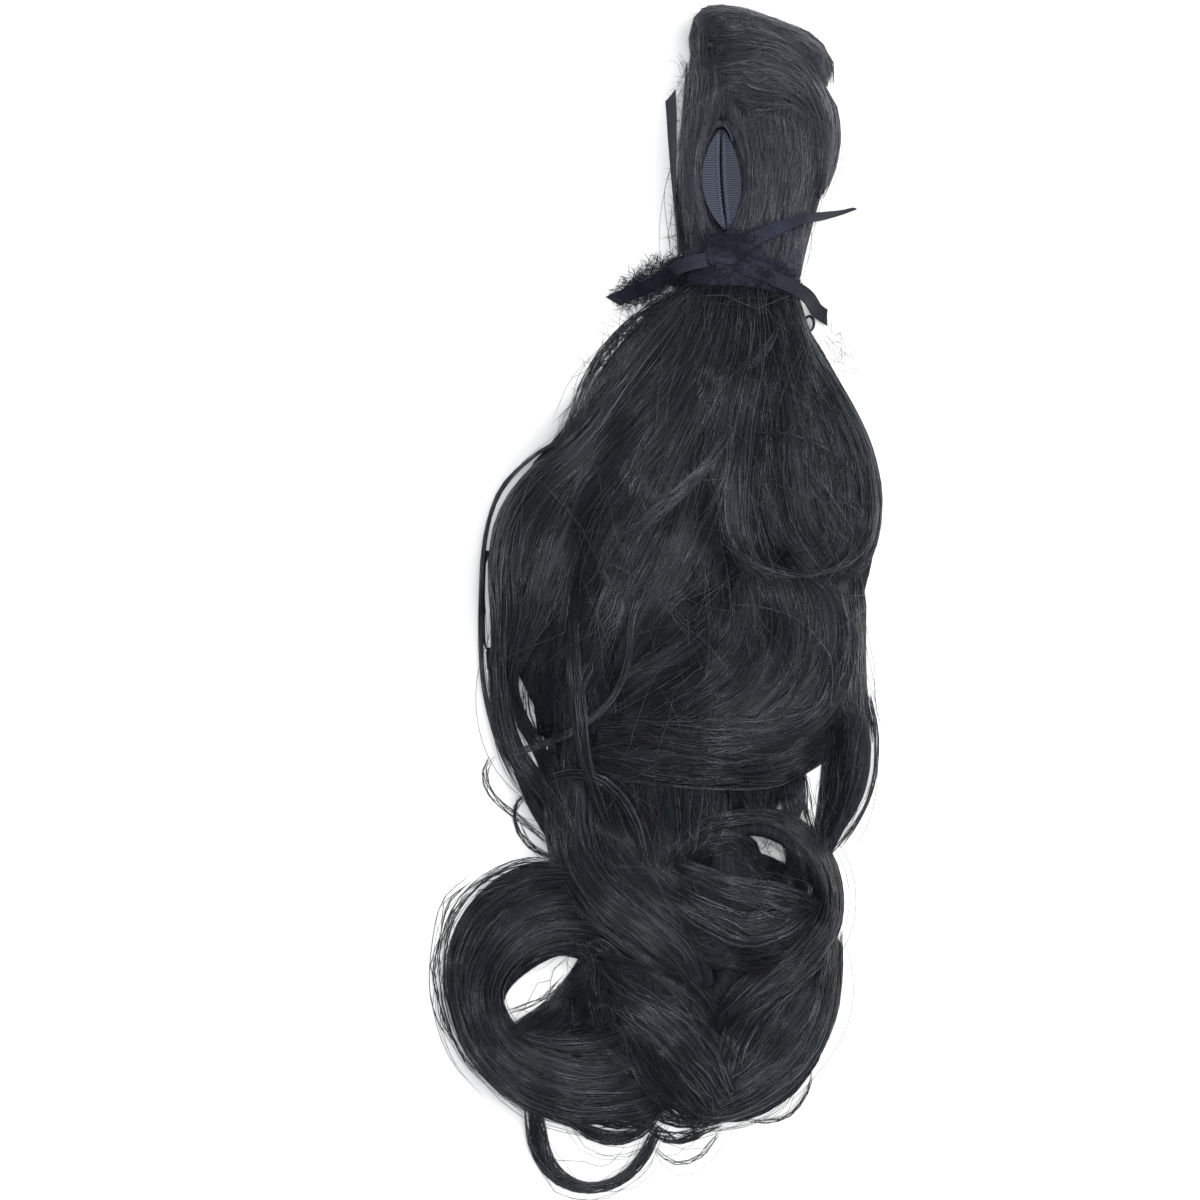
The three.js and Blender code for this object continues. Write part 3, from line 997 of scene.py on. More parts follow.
    def _comb(self, lock: Lock, line: Array, sheaf: Sheaf, count: int,
              spread: tuple[Array, Array], stray: bool = False) -> None:
        """Lays a number of strands along a lock.

        Args:
            lock: The lock.
            line: Its middle line.
            sheaf: The sheaf that they go into.
            count: How many strands.
            spread: Shares of the outline and the angle at each.
            stray: Whether they are thin and leave the lock.
        """
        chance = self.chance
        steps = len(line)
        base = np.linspace(0, 1, steps)
        begin = chance.uniform(0, self.START_SHARE, count)[:, None]
        end = chance.uniform(self.END_SHARE, 1.0, count)[:, None]
        late = chance.random(count)[:, None] < self.LATE_PART
        begin = np.where(late, chance.uniform(0, self.LATE_SHARE, count)[:, None], begin)
        share = begin + (end - begin) * base
        clumps = max(2, count // self.CLUMP)
        centre = (np.arange(clumps) + chance.uniform(0.2, 0.8, clumps)) / clumps
        pick = chance.integers(0, clumps, count)
        own = chance.normal(0, 0.5 / clumps, count)
        wave = lock.wander * 0.5
        drift = chance.normal(0, wave, (clumps, 2))[pick]
        phase = chance.uniform(0, 2 * math.pi, (clumps, 2))[pick]
        own_drift = chance.normal(0, wave * 0.35, count)[:, None]
        own_start = chance.uniform(0, 2 * math.pi, count)[:, None]
        half_turns = share * math.pi
        seat = centre[pick][:, None] + own[:, None] * (1.1 - 0.4 * share)
        seat = seat + drift[:, :1] * np.sin(self.SLOW_WAVE * half_turns + phase[:, :1])
        seat = seat + 0.5 * drift[:, 1:] * np.sin(self.QUICK_WAVE * half_turns + phase[:, 1:])
        seat = seat + own_drift * np.sin(self.OWN_WAVE * half_turns + own_start)
        turn = np.interp(np.clip(seat, 0, 1), *spread)
        across, up = full_oval(turn)
        opening = np.clip(share - 0.7, 0, 1) ** 2 / 0.09
        splay = 1 + lock.splay * opening * chance.uniform(-0.4, 1, (count, 1))
        x, y, lift, wide, thick = (np.interp(share, base, column) for column in line.T)
        side_x, side_y = (np.interp(share, base, column) for column in self.sides(line).T)
        offset = across * wide / 2 * splay
        if stray:
            offset = offset + self._stray(count, share) * np.sign(across[:, :1])
        x = x + side_x * offset
        y = y + side_y * offset
        run = share * lengths_along(line[:, :2])[-1]
        layer = chance.uniform(-0.2, 1, (count, 1)) * lock.layers
        layer = layer + chance.normal(0, 0.25 * lock.layers, clumps)[pick][:, None]
        pitch = chance.uniform(*self.RIPPLE_PITCH, clumps)[pick][:, None]
        own_phase = phase[:, :1] + chance.normal(0, 0.5, (count, 1))
        ripple = chance.normal(0, self.RIPPLE, (count, 1)) * np.sin(2 * math.pi * run / pitch + own_phase)
        ripple = ripple + self._swell(lock, run)
        radius = lock.radius * chance.uniform(0.75, 1.2, (count, 1)) * (self.STRAY_THIN if stray else 1.0)
        fine = np.clip(np.minimum(base * 14, (1 - base) * 6), self.THINNEST_END, 1) ** 0.5
        z = self.relief.height(x, y) + lift - thick / 2 + up * thick / 2 + layer + ripple
        z = np.maximum(z, radius + 0.15 * MM + np.abs(layer) * 0.6)
        shade = chance.normal(0, 0.2, count) + chance.normal(0, lock.mottle, clumps)[pick]
        shade = np.where(chance.random(count) < self.PALE_SHARE, self.PALE_STEP, shade)
        tones = np.clip(lock.tone + shade, 0, 1)
        sheaf.add(np.stack([x, y, z], axis=-1), radius * fine[None, :], tones)

    def _swell(self, lock: Lock, run: Array) -> Array:
        """Gives the slow rise and fall of a lock, which breaks up its gleam.

        Args:
            lock: The lock.
            run: Distances along it.

        Returns:
            The heights.
        """
        first = lock.rows[0][0] + lock.rows[-1][1]
        pitch = (52 + 24 * math.sin(first)) * MM
        size = self.SWELL * min(1.0, lock.rows[1][3] / 20)
        return size * np.sin(2 * math.pi * run / pitch + 1.7 * first)

    def fuzz(self, zone: Fuzz, sheaf: Sheaf) -> None:
        """Scatters short curled hairs over a zone.

        Args:
            zone: The zone.
            sheaf: The sheaf that they go into.
        """
        chance = self.chance
        steps = max(5, int(zone.length / self.CURL_STEP))
        rows = np.array(zone.rows, float)
        table = np.column_stack([self.plan.places(rows[:, 0], rows[:, 1]), rows[:, 2] * MM,
                                 rows[:, 3] * self.plan.unit])
        line = smooth_line(table, 2 * MM)
        spot = chance.uniform(0, len(line) - 1, zone.count)
        place, cross = (
            np.column_stack([np.interp(spot, np.arange(len(line)), column) for column in source.T])
            for source in (line, self.sides(line)))
        shift = chance.uniform(-0.5, 0.5, zone.count) * place[:, 3]
        start = place[:, :2] + cross * shift[:, None]
        head = math.radians(zone.heading) + chance.normal(0, zone.scatter, zone.count)
        head = head + math.pi * chance.integers(0, 2, zone.count)
        bend = chance.normal(0, zone.curl, (zone.count, 1))
        turn = head[:, None] + np.cumsum(bend + chance.normal(0, 0.12, (zone.count, steps)), axis=1)
        length = zone.length * chance.uniform(0.5, 1.4, (zone.count, 1)) / steps
        x = start[:, :1] + np.cumsum(np.cos(turn) * length, axis=1)
        y = start[:, 1:] + np.cumsum(np.sin(turn) * length, axis=1)
        arch = np.sin(np.linspace(0, math.pi, steps)) * chance.uniform(0, zone.rise, (zone.count, 1))
        z = self.relief.height(x, y) + place[:, 2:3] + arch
        z = np.maximum(z, zone.radius + 0.2 * MM)
        radii = np.full(x.shape, zone.radius) * np.interp(np.linspace(0, 1, steps), (0, 0.2, 0.7, 1),
                                                          (0.6, 1, 0.9, 0.4))
        tones = np.clip(chance.normal(zone.tone, 0.2, zone.count), 0, 1)
        sheaf.add(np.stack([x, y, z], axis=-1), radii, tones)

    def _stray(self, count: int, share: Array) -> Array:
        """Gives how far stray strands bend away from their lock.

        Args:
            count: How many strands.
            share: Share of the lock's length, at each point of each strand.

        Returns:
            The distance at each point.
        """
        leave = self.chance.uniform(0, 0.8, (count, 1))
        reach = np.minimum(self.chance.gamma(2.0, 2.6 * MM, (count, 1)), self.STRAY_LIMIT)
        bend = np.clip((share - leave) / 0.4, 0, None)
        back = self.chance.uniform(0.6, 1.6, (count, 1))
        return reach * np.sin(np.clip(bend * back, 0, 1.4) * math.pi / 2)


class Tress:
    """All the hair that stands for one solid of the frame."""

    LIMIT = 140000
    VOXEL = 2.4 * MM
    LOWEST = 0.3 * MM
    PLAIN_SHRINK = 1.6 * MM
    SHRINK = {"hair_fall": 4.4 * MM, "pocket_shell": 1.2 * MM, "left_stream": 2.4 * MM,
              "lower_right_curl": 2.8 * MM, "right_curl": 2.6 * MM, "left_curl": 2.2 * MM,
              "wrap_lock": 2.4 * MM, "crown_roll": 2.2 * MM}

    def __init__(self, node: str, locks: Sequence[Lock | Fuzz], comb: Comb,
                 finishes: HairFinishes) -> None:
        """Keeps the node's name, its locks and what they are made with."""
        self.node = node
        self.locks = [part for part in locks if isinstance(part, Lock)]
        self.zones = [part for part in locks if isinstance(part, Fuzz)]
        self.comb = comb
        self.finishes = finishes

    def build(self) -> int:
        """Makes the core, the locks and the strands.

        Returns:
            How many triangles the strands have.
        """
        open_loop = self.node.startswith("tip_loop")
        if not open_loop:
            self._core()
        bodies = [self.comb.body(lock) for lock in self.locks if lock.body]
        if bodies:
            self._bodies(bodies)
        sheaves = [Sheaf()]
        for lock in self.locks:
            if sheaves[-1].triangles() > self.LIMIT:
                sheaves.append(Sheaf())
            self.comb.strands(lock, sheaves[-1])
        for zone in self.zones:
            self.comb.fuzz(zone, sheaves[-1])
        for k, sheaf in enumerate(sheaves):
            dress(sheaf.make(f"{self.node}_strands_{k + 1}"), self.finishes.strand, Slot.HAIR,
                  *([self.node] if open_loop else []))
        return sum(sheaf.triangles() for sheaf in sheaves)

    def _core(self) -> None:
        """Makes the dark inside from the frame's own solid, rounded and a little smaller."""
        source = bpy.data.objects[self.node]
        core = bpy.data.objects.new(f"{self.node}_core", source.data.copy())
        bpy.context.scene.collection.objects.link(core)
        remesh = core.modifiers.new("voxels", "REMESH")
        remesh.mode = "VOXEL"
        remesh.voxel_size = self.VOXEL
        smooth = core.modifiers.new("round", "SMOOTH")
        smooth.factor = 0.5
        smooth.iterations = 4
        scene_state = bpy.context.evaluated_depsgraph_get()
        mesh = bpy.data.meshes.new_from_object(core.evaluated_get(scene_state))
        core.modifiers.clear()
        core.data = mesh
        count = len(mesh.vertices)
        places = np.zeros(count * 3, np.float32)
        normals = np.zeros(count * 3, np.float32)
        mesh.vertices.foreach_get("co", places)
        mesh.vertices.foreach_get("normal", normals)
        places = (places - normals * self.SHRINK.get(self.node, self.PLAIN_SHRINK)).reshape(-1, 3)
        places[:, 2] = np.maximum(places[:, 2], self.LOWEST)
        mesh.vertices.foreach_set("co", places.ravel())
        mesh.polygons.foreach_set("use_smooth", np.full(len(mesh.polygons), True))
        mesh.update()
        dress(core, self.finishes.core, Slot.HAIR, self.node)

    def _bodies(self, parts: Sequence[tuple[Array, ...]]) -> None:
        """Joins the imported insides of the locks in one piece.

        Args:
            parts: Points, quads, triangles and flow of each.
        """
        starts = np.cumsum([0] + [len(part[0]) for part in parts])[:-1]
        piece = make_object(
            f"{self.node}_locks",
            np.concatenate([part[0] for part in parts]),
            np.concatenate([part[1] + start for part, start in zip(parts, starts)]),
            np.concatenate([part[2] + start for part, start in zip(parts, starts)]))
        set_flow(piece, np.concatenate([part[3] for part in parts]))
        dress(piece, self.finishes.lock, Slot.HAIR)


@dataclass
class HairFinishes:
    """The three finishes of a tress."""

    strand: Material
    lock: Material
    core: Material


# The hair of the base


@dataclass
class BaseHair:
    """The hair over the pocket: side panels, front panel, the roll at the closed end and the wrap."""

    pocket: tuple[Lock | Fuzz, ...] = (
        Lock(((706, 52, 0, 32, 6), (703, 100, 1, 32, 6), (694, 150, 1, 22, 6), (693, 200, 1, 22, 6),
              (698, 240, 0, 26, 5), (706, 262, -2, 26, 4)), strays=8, wander=0.14, cover=2.6),
        Lock(((694, 58, -3, 14, 8), (690, 110, -3, 14, 9), (686, 160, -3, 15, 9), (685, 210, -3, 16, 9),
              (688, 262, -3, 16, 8)), strays=8, wander=0.14, cover=3.0),
        Lock(((718, 96, 1, 14, 4), (710, 124, 2, 15, 5), (702, 156, 2.5, 14, 5), (700, 186, 2.5, 14, 5),
              (705, 215, 2.5, 14, 5), (714, 240, 1.5, 13, 4), (720, 256, 0, 12, 4)), cover=3.0, strays=3),
        Lock(((724, 96, 1, 14, 4), (732, 124, 2, 15, 5), (740, 156, 2.5, 15, 5), (741, 186, 2.5, 15, 5),
              (738, 215, 2.5, 15, 5), (733, 240, 1.5, 14, 4), (729, 258, 0, 14, 4)), cover=3.0, strays=3),
        Lock(((719, 88, 1.5, 14, 3), (721, 104, 1.8, 13, 3), (722, 118, 1.5, 10, 3), (722, 130, 1, 5, 2)),
             cover=2.4, strays=1),
        Lock(((752, 104, 0, 26, 5), (757, 150, 1, 28, 6), (756, 195, 1, 28, 6), (751, 235, 1, 26, 5),
              (748, 256, 2, 24, 5)), cover=2.8, tone=0.6),
        Lock(((777, 104, 0, 28, 5), (782, 150, 1.3, 30, 6), (779, 195, 1.3, 30, 6), (772, 235, 1, 28, 5),
              (768, 266, 3, 26, 5)), cover=2.8, tone=0.66),
        Lock(((800, 108, 0, 26, 5), (805, 150, 1, 26, 6), (802, 195, 1, 28, 6), (793, 235, 1, 26, 5),
              (787, 276, 3, 26, 5)), cover=2.8, tone=0.66),
        Lock(((817, 130, -3, 16, 8), (819, 165, -3, 16, 9), (810, 205, -3, 16, 9), (800, 245, -3, 16, 8),
              (792, 282, -3, 14, 7)), strays=6, cover=3.0),
        Fuzz(((706, 55, 0.6, 30), (700, 120, 0.6, 24), (692, 200, 0.6, 22), (698, 250, 0.6, 24)), 380,
             heading=92, scatter=0.5),
        Fuzz(((688, 60, -2, 10), (685, 130, -2, 10), (682, 200, -2, 10), (684, 265, -2, 12)), 300,
             length=8 * MM, heading=96, scatter=0.4, radius=0.07 * MM),
        Fuzz(((740, 118, 0.8, 20), (770, 124, 0.8, 24), (805, 130, 0.8, 20)), 300, heading=85,
             scatter=0.7, length=7 * MM, radius=0.11 * MM, tone=0.8),
    )
    crown: tuple[Lock | Fuzz, ...] = (
        Lock(((697, 38, 0, 24, 7), (708, 30, 1, 42, 8), (735, 28, 2, 46, 9), (770, 38, 2, 44, 9),
              (799, 52, 2, 44, 8), (820, 67, 1, 34, 7), (828, 84, 0, 17, 5)), strays=4, cover=3.2,
             wander=0.1),
        Lock(((699, 24, -4, 12, 8), (714, 11, -5, 13, 9), (740, 12, -5, 14, 9), (775, 23, -5, 14, 9),
              (808, 35, -5, 15, 9), (825, 53, -5, 14, 8), (828, 76, -5, 11, 6)), strays=3, cover=3.0),
        Lock(((708, 42, 1, 24, 5), (735, 41, 2, 22, 5), (765, 48, 2, 20, 5), (793, 63, 2, 20, 5),
              (816, 80, 0, 14, 4)), cover=2.6, tone=0.62, strays=1),
        Lock(((728, 8, -1, 12, 6), (713, 12, -1, 18, 7), (703, 22, -1, 20, 8), (698, 36, -1, 18, 8),
              (699, 52, -1, 16, 7), (699, 68, -2, 14, 6)), cover=2.6, strays=2, tone=0.45),
        Fuzz(((704, 18, 0.5, 14), (699, 36, 0.3, 12), (700, 54, 0.3, 12)), 130, length=4 * MM, heading=100,
             scatter=0.6, radius=0.08 * MM),
        Fuzz(((714, 12, 0.4, 18), (760, 24, 0.4, 24), (812, 46, 0.4, 24)), 160, length=8 * MM,
             heading=-25, scatter=0.35),
    )
    wrap: tuple[Lock | Fuzz, ...] = (
        Lock(((702, 80, 0, 44, 6), (720, 76, 1, 60, 7), (748, 78, 2, 66, 8), (777, 85, 2, 62, 8),
              (803, 100, 2, 48, 8), (819, 130, 1, 28, 8), (823, 162, 0, 18, 7), (817, 196, 0, 12, 5)),
             cover=3.4, strays=4, wander=0.08, tone=0.6),
        Lock(((812, 82, -3, 18, 8), (830, 103, -4, 17, 9), (834, 135, -4, 16, 9), (829, 168, -4, 14, 8),
              (818, 196, -4, 12, 6)), strays=4, cover=3.0),
        Lock(((728, 108, 2, 8, 3), (752, 113, 2, 8, 3), (776, 113, 2, 8, 3), (800, 118, 2, 8, 3),
              (816, 136, 1, 6, 3)), cover=2.4, body=False, strays=1, wander=0.4),
        Fuzz(((708, 62, 0.8, 22), (712, 84, 0.8, 26), (718, 106, 0.8, 22)), 200, heading=88, scatter=0.5,
             radius=0.11 * MM),
    )

    # Painted highlights: short locks of the palest strands, tone 1.0, laid where the wrap and the front
    # panel catch the light.
    painted_wrap_highlights: tuple[Lock, ...] = (
        Lock(((738, 76, 6, 34, 3), (760, 79, 8, 44, 3), (784, 86, 6, 36, 3))),
        Lock(((738, 44, 6, 12, 3), (764, 50, 7, 14, 3), (788, 60, 6, 12, 3))),
    )
    painted_panel_highlights: tuple[Lock, ...] = (
        Lock(((762, 148, 4, 22, 3), (761, 172, 5, 28, 3), (758, 198, 4, 22, 3))),
        Lock(((788, 148, 4, 22, 3), (787, 172, 5, 28, 3), (783, 198, 4, 22, 3))),
    )

    def tables(self) -> dict[str, tuple[Lock | Fuzz, ...]]:
        """Names the frame's solid that each group of locks stands for."""
        # The painted highlight locks are drawn thin and sparse, in the palest tone.
        painted_wrap_highlights, painted_panel_highlights = (
            tuple(replace(part, cover=0.6, tone=1.0, strays=0, veil=0.05, body=False) for part in group)
            for group in (self.painted_wrap_highlights, self.painted_panel_highlights))
        groups = {"pocket_shell": self.pocket + painted_panel_highlights, "crown_roll": self.crown,
                  "wrap_lock": self.wrap + painted_wrap_highlights}
        return {node: tuple(self._fine(part) for part in parts) for node, parts in groups.items()}

    @staticmethod
    def _fine(part: Lock | Fuzz) -> Lock | Fuzz:
        """Makes the strands of a lock thinner and keeps them together at its end."""
        if isinstance(part, Lock):
            return replace(part, radius=0.18 * MM, mottle=0.05, splay=0.0)
        return part


# The hair of the tail


@dataclass
class TailHair:
    """The fall from the tie, the big wave across it, the streams, the curls and the end loops."""

    fall: tuple[Lock | Fuzz, ...] = (
        Lock(((704, 280, 0, 26, 7), (690, 312, 1, 34, 8), (664, 352, 2, 44, 9), (628, 402, 3, 46, 9),
              (588, 452, 3, 42, 9), (546, 485, 3, 44, 9), (519, 522, 2, 46, 8), (508, 566, 2, 40, 8),
              (508, 612, 2, 34, 7), (504, 652, 1, 24, 6), (501, 692, 0, 16, 5)), strays=10),
        Lock(((712, 280, 0, 26, 7), (702, 316, 1, 36, 8), (684, 358, 3, 44, 9), (650, 412, 4, 50, 9),
              (612, 462, 5, 52, 9), (578, 508, 4, 52, 9), (556, 556, 4, 50, 8), (540, 604, 6, 44, 8),
              (524, 642, 2, 30, 6), (508, 680, 0, 18, 5))),
        Lock(((722, 280, 0, 26, 7), (714, 320, 1, 36, 8), (698, 364, 3, 44, 9), (670, 422, 4, 50, 9),
              (640, 475, 5, 50, 9), (610, 525, 4, 48, 8), (588, 575, 3, 44, 8), (575, 620, 2, 36, 7),
              (560, 660, 0, 26, 6))),
        Lock(((732, 280, 0, 26, 7), (728, 322, 2, 34, 8), (716, 368, 4, 42, 9), (694, 424, 5, 46, 9),
              (668, 478, 5, 46, 8), (642, 530, 4, 46, 8), (618, 582, 4, 44, 8), (598, 630, 5, 38, 8),
              (582, 672, 3, 30, 6), (572, 712, 0, 20, 5))),
        Lock(((742, 280, 0, 26, 7), (742, 324, 2, 34, 8), (732, 374, 5, 42, 9), (716, 432, 6, 46, 9),
              (700, 490, 6, 46, 8), (682, 545, 5, 44, 8), (660, 592, 5, 42, 7), (636, 634, 4, 34, 6),
              (616, 672, 1, 26, 5))),
        Lock(((752, 280, 0, 26, 7), (756, 326, 2, 34, 8), (752, 376, 5, 44, 9), (742, 432, 6, 48, 9),
              (735, 485, 7, 46, 8), (736, 530, 7, 38, 8), (750, 566, 5, 26, 6), (776, 584, 4, 18, 5),
              (806, 590, 1, 12, 4))),
        Lock(((762, 280, 0, 26, 7), (768, 326, 2, 36, 8), (774, 376, 4, 46, 9), (780, 432, 5, 50, 9),
              (786, 485, 6, 50, 9), (797, 530, 6, 48, 8), (818, 566, 4, 40, 7), (842, 598, 2, 30, 6))),
        Lock(((772, 280, 0, 26, 7), (780, 322, 1, 34, 8), (792, 368, 3, 42, 9), (812, 420, 4, 48, 9),
              (829, 470, 5, 50, 9), (836, 515, 7, 48, 9), (828, 550, 5, 40, 8), (804, 566, 3, 32, 6),
              (778, 560, 1, 22, 5)), cover=2.3),
        Lock(((783, 280, 0, 22, 7), (789, 318, 1, 26, 8), (800, 360, 2, 32, 9), (824, 402, 2, 38, 9),
              (846, 444, 2, 42, 9), (858, 486, 2, 42, 9), (861, 520, 2, 38, 8), (853, 552, 2, 32, 8),
              (836, 570, 1, 24, 6), (810, 574, 0, 18, 5)), strays=6, cover=2.3),
        Lock(((836, 560, -1, 30, 8), (846, 605, 0, 38, 9), (845, 650, 1, 42, 9), (848, 700, 1, 42, 8),
              (856, 748, 0, 40, 7)), strays=6),
        Lock(((732, 425, 6, 8, 3), (706, 466, 8, 10, 4), (668, 503, 9, 12, 4), (640, 524, 8, 11, 4),
              (612, 548, 5, 8, 3)), cover=3, tone=0.85, strays=2),
        Lock(((640, 585, 5, 8, 3), (630, 622, 7, 6, 3), (627, 662, 6, 6, 3), (605, 705, 3, 6, 3),
              (550, 742, 3, 6, 3), (500, 755, 1, 5, 2)), body=False, cover=2.4, tone=1.0, strays=2),
        Lock(((574, 604, 3, 10, 4), (573, 640, 5, 14, 5), (577, 690, 6, 15, 5), (582, 735, 6, 14, 5),
              (592, 780, 4, 12, 4), (608, 824, 2, 8, 3), (622, 862, 1, 5, 3)), cover=2.6, strays=3),
        # Painted shade: the next three locks fill the hollows of the fall and are drawn in the darkest
        # tones, painting the shade there on top of the hollows' own shadow.
        Lock(((556, 610, -3, 30, 6), (556, 655, -6, 44, 7), (556, 705, -6, 44, 7), (562, 750, -4, 40, 6)),
             tone=0.05),
        Lock(((596, 640, -2, 34, 6), (600, 690, -4, 38, 6), (604, 740, -4, 40, 6)), tone=0.1),
        Lock(((720, 540, 0, 34, 6), (716, 575, -1, 36, 6), (712, 610, -2, 30, 6)), tone=0.25),
        Lock(((716, 424, 1, 26, 7), (712, 470, 2, 40, 7), (706, 516, 2, 46, 7), (700, 560, 1, 44, 6),
              (692, 604, 0, 36, 5)), tone=0.4),
        Lock(((764, 424, 1, 26, 7), (768, 470, 2, 38, 7), (776, 516, 2, 44, 7), (790, 556, 1, 40, 6)),
             tone=0.4),
        Lock(((640, 560, 1, 30, 7), (624, 606, 2, 44, 7), (604, 652, 1, 44, 6)), tone=0.4),
        # Long stray hairs over the fall: the hairs are real, their palest tone is a painted glint.
        Fuzz(((728, 430, 6, 100), (712, 510, 7, 170), (700, 600, 7, 190), (690, 680, 8, 180)), 110,
             length=46 * MM, heading=78, scatter=0.5, radius=0.12 * MM, curl=0.05, tone=1.0),
        Fuzz(((610, 500, 5, 60), (585, 560, 5, 70), (580, 640, 5, 60)), 30, length=34 * MM, heading=60,
             scatter=0.4, radius=0.13 * MM, curl=0.08, tone=1.0),
        Lock(((680, 292, 2, 12, 3), (642, 313, 2, 11, 3), (607, 346, 1, 10, 3), (583, 386, 1, 9, 3),
              (570, 430, 1, 9, 3), (552, 462, 2, 8, 3)), body=False, cover=1.6, strays=8, wander=0.5),
        Lock(((696, 286, 1, 20, 6), (676, 306, 1, 26, 7), (648, 334, 0, 30, 7), (622, 366, 0, 30, 7),
              (602, 398, 0, 28, 6), (585, 430, 0, 22, 6), (568, 456, 0, 14, 4)), cover=2.4, strays=8,
             wander=0.25),
        Lock(((684, 290, 1, 12, 4), (650, 314, 1, 16, 4), (618, 346, 1, 20, 4), (594, 386, 1, 18, 4),
              (578, 425, 1, 14, 4), (562, 448, 1, 10, 3)), body=False, cover=1.0, strays=8, wander=0.9),
        Fuzz(((672, 302, 2, 36), (632, 345, 1, 44), (602, 395, 1, 34)), 240, length=12 * MM, heading=235,
             scatter=0.6),
        Fuzz(((824, 330, 2, 30), (845, 366, 1, 26)), 60, length=12 * MM, heading=300, scatter=0.5,
             radius=0.07 * MM),
    )
    patch: tuple[Lock, ...] = (
        Lock(((712, 290, 4, 6, 3), (704, 316, 4, 6, 3), (708, 350, 5, 6, 3), (724, 378, 6, 6, 3),
              (752, 390, 7, 6, 3), (780, 382, 6, 6, 3), (798, 356, 4, 6, 3), (804, 326, 3, 6, 3)),
             cover=0.5, tone=1.0, strays=1, wander=0.35, radius=0.12 * MM, body=False),
        Lock(((690, 303, 4, 16, 3), (722, 307, 5, 16, 3), (752, 307, 5, 16, 3), (782, 302, 5, 14, 3),
              (803, 296, 3, 12, 3)), cover=0.3, tone=0.9, strays=1, wander=0.9, radius=0.09 * MM,
             body=False),
        Lock(((774, 332, 5, 5, 3), (764, 352, 6, 8, 3), (752, 368, 6, 8, 3), (738, 378, 5, 5, 3)),
             cover=1.6, tone=1.0, strays=1, body=False),
    )
    # Stray hairs that cross the fall: the hairs are real, their palest tone (1.0) is a painted glint.
    arcs: tuple[Lock, ...] = (
        Lock(((742, 440, 9, 3, 2), (770, 439, 9, 3, 2), (806, 446, 9, 3, 2), (856, 482, 8, 3, 2))),
        Lock(((704, 530, 9, 4, 2), (745, 562, 9, 4, 2), (800, 576, 9, 4, 2), (848, 560, 9, 4, 2),
              (874, 528, 5, 3, 2))),
        Lock(((716, 606, 9, 3, 2), (776, 610, 9, 3, 2), (820, 650, 9, 3, 2), (822, 716, 7, 3, 2))),
        Lock(((590, 552, 9, 4, 2), (632, 529, 9, 4, 2), (682, 494, 9, 4, 2), (726, 442, 8, 4, 2))),
        Lock(((742, 446, 9, 3, 2), (764, 482, 9, 3, 2), (816, 506, 9, 3, 2), (858, 500, 7, 3, 2))),
        Lock(((600, 560, 8, 4, 2), (640, 580, 9, 4, 2), (700, 640, 9, 4, 2), (742, 690, 9, 4, 2))),
        Lock(((520, 470, 5, 3, 2), (560, 500, 6, 4, 2), (600, 560, 7, 4, 2), (620, 620, 6, 3, 2))),
        Lock(((700, 520, 9, 4, 2), (668, 566, 9, 4, 2), (610, 600, 8, 4, 2), (560, 596, 6, 3, 2))),
    )
    # Painted highlights: short locks of the palest strands, tone 1.0, laid on the crests of the fall and
    # the wave where the light catches them.
    painted_highlights: tuple[Lock, ...] = (
        Lock(((652, 462, 8, 20, 3), (644, 478, 9, 26, 3), (636, 494, 9, 24, 3), (628, 508, 8, 16, 3))),
        Lock(((800, 476, 9, 12, 3), (814, 502, 10, 22, 3), (832, 528, 9, 22, 3), (850, 546, 7, 10, 3))),
        Lock(((834, 492, 7, 10, 3), (846, 508, 8, 14, 3), (858, 520, 6, 8, 3))),
        Lock(((733, 554, 9, 6, 3), (752, 566, 9, 9, 3), (776, 574, 9, 9, 3), (800, 577, 8, 6, 3))),
        Lock(((626, 590, 8, 14, 3), (614, 610, 8, 18, 3), (600, 634, 7, 12, 3))),
        Lock(((686, 588, 9, 12, 3), (668, 600, 9, 16, 3), (652, 616, 8, 12, 3))),
        Lock(((700, 620, 9, 12, 3), (684, 634, 9, 18, 3), (668, 650, 9, 12, 3))),
        Lock(((720, 662, 10, 20, 3), (694, 684, 10, 26, 3), (666, 706, 9, 16, 3))),
        Lock(((690, 744, 10, 34, 3), (722, 742, 11, 38, 3), (758, 738, 10, 32, 3))),
        Lock(((554, 578, 7, 14, 3), (546, 606, 8, 20, 3), (538, 634, 7, 14, 3))),
        Lock(((588, 660, 7, 12, 3), (584, 674, 8, 16, 3), (578, 692, 7, 12, 3))),
        Lock(((732, 432, 9, 6, 3), (700, 474, 9, 10, 3), (660, 512, 9, 12, 3), (618, 548, 8, 8, 3))),
        Lock(((580, 686, 9, 9, 3), (582, 708, 9, 11, 3), (584, 728, 9, 8, 3))),
    )
